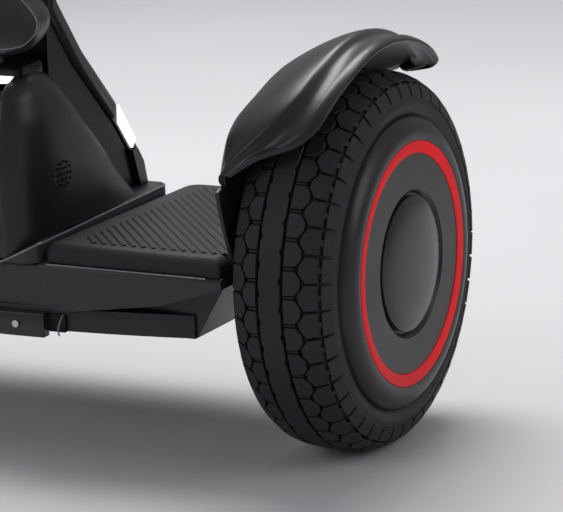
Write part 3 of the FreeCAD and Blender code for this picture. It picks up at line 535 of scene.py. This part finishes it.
def band_drop(share):
    """Drop below the crest in mm, from the crest (0) to the lip (1): a trough, a low rib and the lip's turn."""
    rib = math.exp(-((share - 0.74) / 0.11) ** 2)
    return 4.4 * smoothstep(share, 0.0, 0.38) - rib + 1.5 * max(0.0, (share - 0.82) / 0.18) ** 2


def through_keys(turn, keys):
    """Smooth value of every column of a key table at an angle, with no overshoot between two keys."""
    table = np.array(keys, dtype=float)
    angles, values = table[:, 0], table[:, 1:]
    steps = np.diff(values, axis=0) / np.diff(angles)[:, None]
    rates = np.zeros_like(values)
    same_way = steps[:-1] * steps[1:] > 0
    rates[1:-1][same_way] = (2 * steps[:-1] * steps[1:])[same_way] / (steps[:-1] + steps[1:])[same_way]
    rates[0], rates[-1] = steps[0], steps[-1]
    index = int(np.clip(np.searchsorted(angles, turn) - 1, 0, len(angles) - 2))
    span = angles[index + 1] - angles[index]
    t = min(1.0, max(0.0, (turn - angles[index]) / span))
    return ((2 * t ** 3 - 3 * t ** 2 + 1) * values[index] + (t ** 3 - 2 * t ** 2 + t) * span * rates[index]
            + (3 * t ** 2 - 2 * t ** 3) * values[index + 1] + (t ** 3 - t ** 2) * span * rates[index + 1])


def roof_section(turn, crown):
    """(distance from the inner edge, radius) points across the roof at an angle in degrees."""
    crest, lip, change = through_keys(turn, ROOF_KEYS) * MM
    top = crown + change
    fuller = 0.62 + 0.38 * smoothstep(turn, -46, -20)
    points = [(crest * share, top - slope_drop(share) * MM * fuller) for share in SLOPE_SHARES]
    depth = min(1.0, (lip - crest) / (24 * MM))
    points += [(crest + (lip - crest) * share, top - band_drop(share) * MM * depth) for share in BAND_SHARES]
    return points


def roof_turns(rows):
    """Angles from the front tip to the rear end, closer together at both ends."""
    first, last = ROOF_KEYS[0][0], ROOF_KEYS[-1][0]
    shares = [row / (rows - 1) for row in range(rows)]
    return [first + (last - first) * (t - 0.8 * math.sin(2 * math.pi * t) / (2 * math.pi)) for t in shares]


def fender_roof(name, side, inner, crown, centre):
    verts, rows = [], roof_turns(110)
    for turn in rows:
        angle = math.radians(turn)
        for across, radius in roof_section(turn, crown):
            verts.append((side * (inner + across), centre.y + radius * math.sin(angle),
                          centre.z + radius * math.cos(angle)))
    columns = len(SLOPE_SHARES) + len(BAND_SHARES)
    roof = add_piece(f"mudguard_{name}", verts, grid_faces(len(rows), columns), FENDER_PLASTIC, "platform",
                     60)
    add_modifier(roof, "SOLIDIFY", thickness=0.0032, offset=-side)
    add_modifier(roof, "BEVEL", width=0.0009, segments=3, limit_method="ANGLE", angle_limit=math.radians(50))
    return roof


def fender_lip(name, side, inner, crown, centre):
    """Rolled bead along the roof's free edge."""
    verts, rows, around = [], roof_turns(130)[1:-1], 8
    for turn in rows:
        across, radius = roof_section(turn, crown)[-1]
        angle = math.radians(turn)
        for step in range(around):
            roll = 2 * math.pi * step / around
            x = inner + across - 0.0008 + 0.0013 * math.cos(roll)
            level = radius - 0.0012 + 0.0013 * math.sin(roll)
            verts.append((side * x, centre.y + level * math.sin(angle), centre.z + level * math.cos(angle)))
    add_piece(f"mudguard_lip_{name}", verts, grid_faces(len(rows), around, False, True), FENDER_PLASTIC,
              "platform", 80)


def fender_wall(name, side, inner, crown, centre, floor):
    """Flat wall on the platform's side, with a front edge that curves down to the deck."""
    outline = []
    for turn in roof_turns(60):
        reach = roof_section(turn, crown)[0][1] - 0.0006
        outline.append((reach * math.sin(math.radians(turn)), reach * math.cos(math.radians(turn))))
    foot = floor - centre.z
    back_y, back_z = outline[-1]
    outline += [(back_y - 0.002, back_z - 0.03), (back_y - 0.009, back_z - 0.062), (0.066, foot + 0.012)]
    outline += [(0.058, foot), (-0.072, foot), (-0.081, foot + 0.008)]
    outline += arc_points((-0.0865, 0.0), (-0.105, 0.038), (-0.112, 0.066), 8)
    layers = [[(side * x, centre.y + y, centre.z + z) for y, z in outline] for x in (inner, inner + 0.0032)]
    verts, faces = stacked_loops(layers)
    wall = add_piece(f"mudguard_wall_{name}", verts, faces, MATERIALS["shell"], "platform")
    add_modifier(wall, "BEVEL", width=0.0009, segments=2, limit_method="ANGLE", angle_limit=math.radians(40))


def build_fenders():
    """Roof over the tyre with a crease along its crest, a rolled lip and a wall beside the platform."""
    for name, side in SIDES:
        low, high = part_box(f"fender_{name}")
        centre = wheel_facts(name, side)["centre"]
        inner, crown = min(abs(low.x), abs(high.x)), high.z - centre.z
        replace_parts(fender_roof(name, side, inner, crown, centre), f"fender_{name}")
        fender_lip(name, side, inner, crown, centre)
        fender_wall(name, side, inner, crown, centre, low.z)


# ---------------------------------------------------------------------------
# Foot mats
# ---------------------------------------------------------------------------
def rounded_outline(low, high, corner, steps=6):
    """Counter-clockwise rounded rectangle between two (x, y) corners."""
    points = []
    for cx, cy, start in ((high[0] - corner, high[1] - corner, 0), (low[0] + corner, high[1] - corner, 90),
                          (low[0] + corner, low[1] + corner, 180), (high[0] - corner, low[1] + corner, 270)):
        for step in range(steps + 1):
            turn = math.radians(start + 90 * step / steps)
            points.append((cx + corner * math.cos(turn), cy + corner * math.sin(turn)))
    return points


def stacked_loops(layers):
    """Vertices and faces of a closed body through equal-length loops, bottom to top."""
    verts = [point for layer in layers for point in layer]
    count = len(layers[0])
    faces = grid_faces(len(layers), count, wrap_columns=True)
    faces.append(tuple(range(count)))
    faces.append(tuple((len(layers) - 1) * count + i for i in range(count)))
    return verts, faces


def mat_outline(low, high, side, inset):
    """Outline with tight corners beside the wheel and a rounder corner at the front, by the hump."""
    inner, outer = sorted((abs(low.x), abs(high.x)))
    corners = [((inner, low.y), 0.0065), ((outer, low.y), 0.003), ((outer, high.y), 0.003),
               ((inner, high.y), 0.012)]
    points = []
    for index, ((x, y), radius) in enumerate(corners):
        cx = x + math.copysign(radius, (inner + outer) / 2 - x)
        cy = y + math.copysign(radius, (low.y + high.y) / 2 - y)
        for step in range(7):
            turn = math.radians(180 + 90 * index + 15 * step)
            points.append((side * (cx + (radius - inset) * math.cos(turn)),
                           cy + (radius - inset) * math.sin(turn)))
    return points[::side]


def build_mats():
    """Thick rubber mats: sloping rim, smooth border and slanted ribs."""
    for name, side in SIDES:
        low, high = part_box(f"foot_mat_{name}")
        layers = []
        for inset, z in ((0.0004, low.z), (0.0, low.z + 0.001), (0.0002, high.z - 0.0068),
                         (0.001, high.z - 0.0045), (0.0036, high.z - 0.0014), (0.0052, high.z - 0.0007),
                         (0.0085, high.z - 0.0006)):
            outline = mat_outline(low, high, side, min(inset, 0.0028))
            middle = (low + high) / 2
            shrink = max(0.0, inset - 0.0028)
            layers.append([(x - math.copysign(shrink, x - middle.x), y - math.copysign(shrink, y - middle.y), z)
                           for x, y in outline])
        verts, faces = stacked_loops(layers)
        mat = add_piece(f"mat_{name}", verts, faces, MATERIALS["mat"], "platform", 40)
        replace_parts(mat, f"foot_mat_{name}")
        build_ribs(name, side, low, high)


def clipped_span(offset, slope, low, high):
    """Part of the line y = offset + slope * x that lies inside a rectangle."""
    ends = sorted(((low[1] - offset) / slope, (high[1] - offset) / slope))
    left, right = max(low[0], ends[0]), min(high[0], ends[1])
    return (left, right) if right - left > 0.006 else None


def build_ribs(name, side, low, high):
    """Slanted ribs inside a smooth border that is wider beside the hump."""
    border, by_hump, by_wheel = 0.0125, 0.021, 0.004
    inside_low = (low.x + (by_hump if side > 0 else by_wheel), low.y + border)
    inside_high = (high.x - (by_wheel if side > 0 else by_hump), high.y - border)
    slope = -side * 1.15
    verts, faces = [], []
    spacing = 0.0088
    length = math.hypot(1, slope)
    normal = (-slope / length, 1 / length)
    reach = 0.34
    count = int(2 * reach / spacing)
    for index in range(count):
        offset = -reach + index * spacing
        span = clipped_span(offset, slope, inside_low, inside_high)
        if not span:
            continue
        a = (span[0], offset + slope * span[0])
        b = (span[1], offset + slope * span[1])
        base = len(verts)
        for x, y in (a, b):
            for across, lift in ((-0.0025, -0.0008), (-0.0016, 0.0004), (-0.0007, 0.0009), (0.0007, 0.0009),
                                 (0.0016, 0.0004), (0.0025, -0.0008)):
                verts.append((x + normal[0] * across, y + normal[1] * across, high.z - 0.0006 + lift))
        faces += [(base + i, base + i + 1, base + 6 + i + 1, base + 6 + i) for i in range(5)]
        faces += [tuple(base + i for i in range(6)), tuple(base + 6 + i for i in range(6))]
    add_piece(f"mat_ribs_{name}", verts, faces, MATERIALS["mat"], "platform", 50)


# ---------------------------------------------------------------------------
# Hump
# ---------------------------------------------------------------------------
def hood_ring(height, half, front, rear, power, count, channel):
    """One level of the hood: a superellipse with a channel pressed into its front."""
    points = []
    middle, reach = (front + rear) / 2, (rear - front) / 2
    for index in range(count):
        turn = 2 * math.pi * index / count
        c, s = math.cos(turn), math.sin(turn)
        x = half * math.copysign(abs(c) ** (2 / power), c)
        y = middle + reach * math.copysign(abs(s) ** (2 / power), s)
        if s < 0:
            y += channel * (1 - smoothstep(abs(x), 0.0085, 0.0135))
        points.append((x, y, height))
    return points


def build_hood():
    low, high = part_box("front_hood")
    tall, half = high.z - low.z, (high.x - low.x) / 2
    deep = high.y - low.y
    keys = [(0.0, 1.0, 0.03, 1.04, 3.6), (0.05, 0.985, 0.012, 1.0, 3.4), (0.16, 0.99, 0.008, 0.925, 3.2),
            (0.45, 0.985, 0.0, 0.73, 3.0), (0.72, 0.92, 0.015, 0.555, 2.8), (0.88, 0.80, 0.045, 0.46, 2.6),
            (0.96, 0.66, 0.095, 0.405, 2.4), (1.0, 0.46, 0.16, 0.36, 2.2)]
    table = np.array(keys)
    levels = []
    for step in range(33):
        share = step / 32
        share = 1 - (1 - share) ** 1.5
        values = [np.interp(share, table[:, 0], table[:, column]) for column in range(1, 5)]
        channel = 0.0065 * smoothstep(share, 0.0, 0.06) + 0.006 * smoothstep(share, 0.6, 0.95)
        level = hood_ring(low.z - 0.004 + (tall + 0.004) * share, half * values[0], low.y + deep * values[1],
                          low.y + deep * values[2], values[3], 112, channel)
        valley = 0.02 * smoothstep(share, 0.7, 1.0)
        sink = 0.015 * (1 - smoothstep(share, 0.0, 0.14))
        levels.append([(x, y, z - valley * (1 - smoothstep(abs(x), 0.003, 0.0145))
                        - sink * (1 - smoothstep(y, low.y + 0.004, low.y + 0.05))) for x, y, z in level])
    verts, faces = stacked_loops(levels)
    hood = add_piece("hood_shell", verts, faces, MATERIALS["shell"], "platform", 50)
    add_modifier(hood, "SMOOTH", factor=0.5, iterations=4)
    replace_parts(hood, "front_hood")


def skirt_top(x, y, low, high):
    """Height of the base plate's edge: it sinks towards the front and dips at the front's middle."""
    along = min(1.0, max(0.0, (y - low.y - 0.012) / (high.y - low.y - 0.03)))
    height = high.z - 0.0036 + 0.0042 * along
    front = 1 - smoothstep(y, low.y + 0.003, low.y + 0.016)
    return max(low.z + 0.0012, height - front * 0.47 * max(0.0, high.x - 0.001 - abs(x)))


def build_skirt():
    """Base plate of the hump, with a painted highlight along its top edge: a pale tube that stands in for light on
    the edge.
    """
    low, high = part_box("skirt_trim")
    inset, corner = 0.0003, 0.0125
    outline = [Vector(point) for point in rounded_outline((low.x + inset, low.y + inset),
                                                          (high.x - inset, high.y - inset), corner, 10)]
    ring = []
    for index, place in enumerate(outline):
        after = outline[(index + 1) % len(outline)]
        steps = max(1, int((after - place).length / 0.003))
        ring += [place.lerp(after, step / steps) for step in range(steps)]
    middle = Vector(((low.x + high.x) / 2, (low.y + high.y) / 2))
    layers = []
    for keep, drop in ((1.0, None), (1.0, 0.0022), (0.985, 0.0012), (0.92, 0.0006), (0.55, 0.0006)):
        layer = []
        for place in ring:
            spot = middle + (place - middle) * keep
            height = low.z + 0.0001 if drop is None else skirt_top(place.x, place.y, low, high) - drop
            layer.append((spot.x, spot.y, height))
        layers.append(layer)
    verts, faces = stacked_loops(layers)
    skirt = add_piece("skirt_plate", verts, faces[:-1], RIDGE_PLASTIC, "platform", 40)
    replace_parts(skirt, "skirt_trim")

    # Painted highlight: a pale tube round the plate's top edge stands in for light caught on that edge.
    bead, verts = 0.0010, []
    count = len(ring)
    for index, place in enumerate(ring):
        along = (ring[(index + 1) % count] - ring[index - 1]).normalized()
        out = Vector((along.y, -along.x))
        top = skirt_top(place.x, place.y, low, high) - 0.0014
        for step in range(8):
            turn = 2 * math.pi * step / 8
            verts.append((place.x + out.x * (bead * math.cos(turn) - 0.0008),
                          place.y + out.y * (bead * math.cos(turn) - 0.0008), top + bead * math.sin(turn)))
    add_piece("skirt_painted_highlight", verts, grid_faces(count, 8, True, True), PAINTED_HIGHLIGHT, "platform", 80)


def mirrored(points):
    """Right-hand outline points, bottom to top, closed with their mirror image."""
    return points + [(-x, z) for x, z in reversed(points) if x > 0]


def knuckle_outline():
    """Right half of the panel in mm from the steering axis: flat chin, round cheek, shoulder, straight neck."""
    chin = arc_points((0, -10), (12, -10), (22.5, -7), 4)
    cheek = arc_points((22.5, -7), (36.5, -0.5), (36.5, 9), 6)[1:]
    shoulder = arc_points((36.5, 9), (36.5, 15), (25, 25), 6)[1:]
    neck = arc_points((25, 25), (20, 33), (19.5, 57), 5)[1:]
    return chin + cheek + shoulder + neck


def build_knuckle():
    """Rounded housing at the foot of the column, with an inset front panel."""
    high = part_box("column_knuckle")[1]
    level = JOINTS["steering_lean"]["pos_m"][2]
    panel = mirrored([(x * MM, level + z * MM) for x, z in knuckle_outline()])
    centre = (0.0, level + 0.012)
    layers = []
    for y, wide, tall in ((high.y - 0.001, 0.60, 0.70), (high.y - 0.004, 0.72, 0.86),
                          (high.y - 0.012, 0.86, 1.05), (-0.074, 0.945, 1.2), (-0.081, 0.965, 1.24),
                          (-0.0855, 0.985, 1.2), (-0.0885, 1.0, 1.06)):
        layers.append([(x * wide, y, centre[1] + (z - centre[1]) * (tall if z < centre[1] else 1.0))
                       for x, z in panel])
    verts, faces = stacked_loops(layers)
    shell = add_piece("knuckle_shell", verts, faces, MATERIALS["frame"], "column", 45)
    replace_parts(shell, "column_knuckle", "pivot_cover")

    face = []
    for y, keep in ((-0.0880, 0.985), (-0.0893, 0.975), (-0.0897, 0.955), (-0.0894, 0.93)):
        face.append([(x * keep, y, centre[1] + (z - centre[1]) * keep) for x, z in panel])
    verts, faces = stacked_loops(face)
    add_piece("knuckle_panel", verts, faces, MATERIALS["shell"], "column", 45)
    # Painted highlight: a pale tube round the front panel's edge stands in for light caught on that edge.
    verts, count = [], len(panel)
    for index, (x, z) in enumerate(panel):
        before, after = panel[index - 1], panel[(index + 1) % count]
        along = Vector((after[0] - before[0], after[1] - before[1])).normalized()
        for step in range(6):
            turn = 2 * math.pi * step / 6
            push = 0.00055 * math.cos(turn)
            verts.append((x * 0.992 + along.y * push, -0.0889 + 0.00055 * math.sin(turn),
                          centre[1] + (z - centre[1]) * 0.992 - along.x * push))
    add_piece("knuckle_painted_highlight", verts, grid_faces(count, 6, True, True), PAINTED_HIGHLIGHT, "column", 80)

    low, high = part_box("column_collar")
    layers = []
    for z, inset in ((low.z, 0.006), (low.z + 0.004, 0.004), (high.z - 0.007, 0.004), (high.z - 0.004, 0.007)):
        outline = rounded_outline((low.x + inset, low.y + inset), (high.x - inset, high.y - 0.001), 0.007)
        layers.append([(x, y, z) for x, y in outline])
    verts, faces = stacked_loops(layers)
    collar = add_piece("collar_shell", verts, faces, CORE_GLOSS, "platform", 45)
    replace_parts(collar, "column_collar")


def build_headlight():
    """Slim lens under the column's foot with pointed ends."""
    low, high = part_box("headlight_lens")
    outline = mirrored([(0.0, low.z + 0.0012), (0.0145, low.z + 0.0022), (0.0185, high.z + 0.0006),
                        (0.0, high.z + 0.0006)])
    layers = []
    for y, keep in ((low.y + 0.004, 1.0), (low.y + 0.0004, 1.0), (low.y, 0.97)):
        middle = sum(z for _, z in outline) / len(outline)
        layers.append([(x * keep, y, middle + (z - middle) * keep) for x, z in outline])
    verts, faces = stacked_loops(layers)
    lens = add_piece("headlight", verts, faces, MATERIALS["lamp"], "platform")
    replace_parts(lens, "headlight_lens")


def build_deck_painted_highlight():
    """Painted highlight: a slim pale tube along the top edge of the frame, front and rear, standing in for light
    on that edge.
    """
    low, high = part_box("chassis_frame")
    for name, side in SIDES:
        for end, y, out in (("front", low.y, -1), ("rear", high.y, 1)):
            verts = []
            stops = [0.044 + (0.1665 - 0.044) * step / 24 for step in range(25)]
            for x in stops:
                for step in range(6):
                    turn = 2 * math.pi * step / 6
                    verts.append((side * x, y - out * (0.0006 - 0.0006 * math.cos(turn)),
                                  high.z - 0.0004 + 0.0006 * math.sin(turn)))
            add_piece(f"deck_edge_{end}_{name}", verts, grid_faces(25, 6, False, True), PAINTED_HIGHLIGHT,
                      "platform", 80)


def bowed_block(name, half, front, bow, rear, bottom, top, round_edge, material):
    """Box whose front face bows forward at its middle, with rounded front edges."""
    columns = 25
    layers = []
    for z, inset in ((bottom, round_edge), (bottom + round_edge * 0.3, round_edge * 0.3),
                     (bottom + round_edge, 0.0), (top - round_edge, 0.0),
                     (top - round_edge * 0.3, round_edge * 0.3), (top, round_edge)):
        layer = []
        for index in range(columns):
            x = -half + 2 * half * index / (columns - 1)
            layer.append((x * (1 - inset / half), front - bow * (1 - (x / half) ** 2) + inset, z))
        layer += [(half - inset, rear, z), (-half + inset, rear, z)]
        layers.append(layer)
    verts, faces = stacked_loops(layers)
    piece = add_piece(name, verts, faces, material, "platform", 40)
    add_modifier(piece, "BEVEL", width=0.0006, segments=2, limit_method="ANGLE", angle_limit=math.radians(40))
    return piece


def build_battery_front():
    """Front of the battery: bowed nose, latch box in a recess darkened with painted shade, and a pale curved tube
    each side as a painted highlight.
    """
    case_low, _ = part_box("battery_case")
    bow = 0.0152
    sides = case_low.y + bow - 0.0003
    bowed_block("battery_nose", 0.1497, sides, bow, sides + 0.006, case_low.z + 0.0006,
                case_low.z + 0.0172, 0.0011, MATERIALS["shell"])
    low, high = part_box("latch_housing")
    half, front, bottom, top = high.x, low.y, low.z, high.z
    # Painted shade: a near-black block fills the recess round the latch box.
    bowed_block("latch_recess_shade", half + 0.013, front + 0.0063, 0.0, case_low.y + 0.004, bottom + 0.0032,
                top - 0.001, 0.001, DARK_SEAM_AND_SHADE)
    latch = bowed_block("latch_box", half, front, 0.0012, high.y, bottom, top, 0.0012, CAP_PLASTIC)
    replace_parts(latch, "latch_housing")
    for x in (-0.0042, 0.0042):
        seam = bowed_block("latch_seam" + ("_a" if x < 0 else "_b"), 0.0002, front - 0.0013, 0.0, front,
                           bottom + 0.0012, top - 0.0012, 0.0001, DARK_SEAM_AND_SHADE)
        seam.location.x = x
    # Painted highlight: a pale curved tube on each side of the latch box stands in for light on the battery's
    # rounded edge.
    verts = []
    rows = 18
    for index in range(rows):
        share = index / (rows - 1)
        x = half + 0.0135 - 0.0035 * share ** 1.6
        z = top - 0.0002 - (top - bottom - 0.002) * share
        y = front + 0.0032 - 0.0042 * math.sin(math.pi * share)
        for step in range(6):
            turn = 2 * math.pi * step / 6
            verts.append((x + 0.0006 * math.cos(turn), y + 0.0006 * math.sin(turn), z))
    for mirror in (1, -1):
        highlight_line = [(mirror * x, y, z) for x, y, z in verts]
        add_piece("latch_highlight_line" + ("_r" if mirror > 0 else "_l"), highlight_line,
                  grid_faces(rows, 6, False, True), PAINTED_HIGHLIGHT, "platform", 80)


def build_speaker_holes():
    """Ring pattern of small holes over the buzzer, drawn as near-black discs: painted shade inside the holes."""
    low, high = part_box("speaker")
    centre = (low + high) / 2
    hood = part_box("front_hood")
    verts, faces = [], []
    for ring, amount in ((0, 1), (0.0045, 6), (0.0085, 12)):
        for index in range(amount):
            turn = 2 * math.pi * index / amount
            y, z = centre.y + ring * math.cos(turn), centre.z + ring * math.sin(turn)
            base = len(verts)
            for x in (hood[1].x - 0.004, hood[1].x + 0.0001):
                for step in range(8):
                    angle = 2 * math.pi * step / 8
                    verts.append((x, y + 0.0009 * math.cos(angle), z + 0.0009 * math.sin(angle)))
            faces += [(base + i, base + (i + 1) % 8, base + 8 + (i + 1) % 8, base + 8 + i) for i in range(8)]
            faces += [tuple(base + i for i in range(8)), tuple(base + 8 + i for i in range(8))]
    add_piece("speaker_holes", verts, faces, DARK_SEAM_AND_SHADE, "platform")


# ---------------------------------------------------------------------------
# Knee pads
# ---------------------------------------------------------------------------
def post_axis():
    return Vector(JOINTS["knee_bar_height"]["axis"]).normalized()


def build_knee_pads():
    """Foam pads in a soft skin: crowned faces and a welted seam round the middle."""
    up = post_axis()
    back = Vector((0, up.z, -up.y))
    for name, side in SIDES:
        low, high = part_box(f"knee_pad_{name}")
        centre = (low + high) / 2
        half_thick = (high.x - low.x) / 2
        points = [NODES[f"knee_pad_{name}"].data.vertices[i].co - centre
                  for i in range(len(NODES[f"knee_pad_{name}"].data.vertices))]
        half_tall = max(point.dot(up) for point in points)
        half_deep = max(point.dot(back) for point in points)
        layers = []
        for across, size in ((-1, 0.62), (-0.97, 0.8), (-0.86, 0.93), (-0.6, 0.985), (-0.14, 1.0),
                             (-0.07, 0.985), (0.07, 0.985), (0.14, 1.0), (0.55, 0.975), (0.8, 0.9),
                             (0.93, 0.76), (1, 0.5)):
            loop = []
            for index in range(72):
                turn = 2 * math.pi * index / 72
                c, s = math.cos(turn), math.sin(turn)
                u = half_deep * size * math.copysign(abs(c) ** (2 / 4.5), c)
                v = half_tall * (1 - (1 - size) * half_deep / half_tall) * math.copysign(abs(s) ** (2 / 4.5), s)
                place = centre + back * u + up * v
                place.x = centre.x + side * half_thick * across
                loop.append(tuple(place))
            layers.append(loop)
        verts, faces = stacked_loops(layers)
        pad = add_piece(f"pad_{name}", verts, faces, MATERIALS["pad"], "knee_bar", 60)
        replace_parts(pad, f"knee_pad_{name}")


# ---------------------------------------------------------------------------
# Stage, light and camera
# ---------------------------------------------------------------------------
def build_stage():
    mesh = bpy.data.meshes.new("floor")
    mesh.from_pydata([(-14, -14, 0), (14, -14, 0), (14, 14, 0), (-14, 14, 0)], [], [(0, 1, 2, 3)])
    nodes = Nodes("pale_floor")
    cloud = nodes.noise(1.5, 3)
    nodes.colours(cloud, [(0.3, (0.58, 0.58, 0.59)), (0.7, (0.61, 0.61, 0.62))])
    nodes.link(nodes.spread(cloud, 0.55, 0.65), nodes.shader.inputs["Roughness"])
    mesh.materials.append(nodes.material)
    floor = bpy.data.objects.new("floor", mesh)
    bpy.context.scene.collection.objects.link(floor)

    world = bpy.data.worlds.new("studio")
    world.use_nodes = True
    world.node_tree.nodes["Background"].inputs["Color"].default_value = (0.80, 0.82, 0.86, 1)
    world.node_tree.nodes["Background"].inputs["Strength"].default_value = 0.36
    bpy.context.scene.world = world
    bpy.context.scene.view_settings.view_transform = "Standard"


def add_softbox(name, place, target, size, power):
    light = bpy.data.lights.new(name, "AREA")
    light.shape = "RECTANGLE"
    light.size, light.size_y = size
    light.energy = power
    lamp = bpy.data.objects.new(name, light)
    lamp.location = place
    lamp.rotation_euler = (Vector(target) - Vector(place)).to_track_quat("-Z", "Y").to_euler()
    bpy.context.scene.collection.objects.link(lamp)


def build_lights():
    add_softbox("top_box", (-0.5, 0.9, 2.2), (0.1, 0, 0.2), (1.8, 1.2), 62)
    add_softbox("side_box", (2.6, 0.2, 1.5), (0.2, 0, 0.2), (1.4, 1.4), 15)
    add_softbox("front_box", (-1.2, -2.4, 1.6), (0.1, 0, 0.2), (1.6, 1.2), 13)


def build_camera():
    """Long lens from the right front, a little above the platform, as the view is framed."""
    camera = bpy.data.cameras.new("camera")
    camera.sensor_width = 36
    camera.lens = 191.9
    camera.clip_end = 60
    holder = bpy.data.objects.new("camera", camera)
    azimuth, elevation, roll = math.radians(27.28), math.radians(13.56), math.radians(1.86)
    back = Vector((math.sin(azimuth) * math.cos(elevation), -math.cos(azimuth) * math.cos(elevation),
                   math.sin(elevation)))
    right = Vector((math.cos(azimuth), math.sin(azimuth), 0))
    up = back.cross(right)
    right, up = (right * math.cos(roll) - up * math.sin(roll), right * math.sin(roll) + up * math.cos(roll))
    turn = Matrix((right, up, back)).transposed()
    holder.matrix_world = Matrix.Translation((1.0911, -1.7879, 0.6125)) @ turn.to_4x4()
    bpy.context.scene.collection.objects.link(holder)
    bpy.context.scene.camera = holder


finish_cad_nodes()
build_wheels()
build_fenders()
build_mats()
build_hood()
build_skirt()
build_deck_painted_highlight()
build_knuckle()
build_battery_front()
build_headlight()
build_speaker_holes()
build_knee_pads()
build_stage()
build_lights()
build_camera()
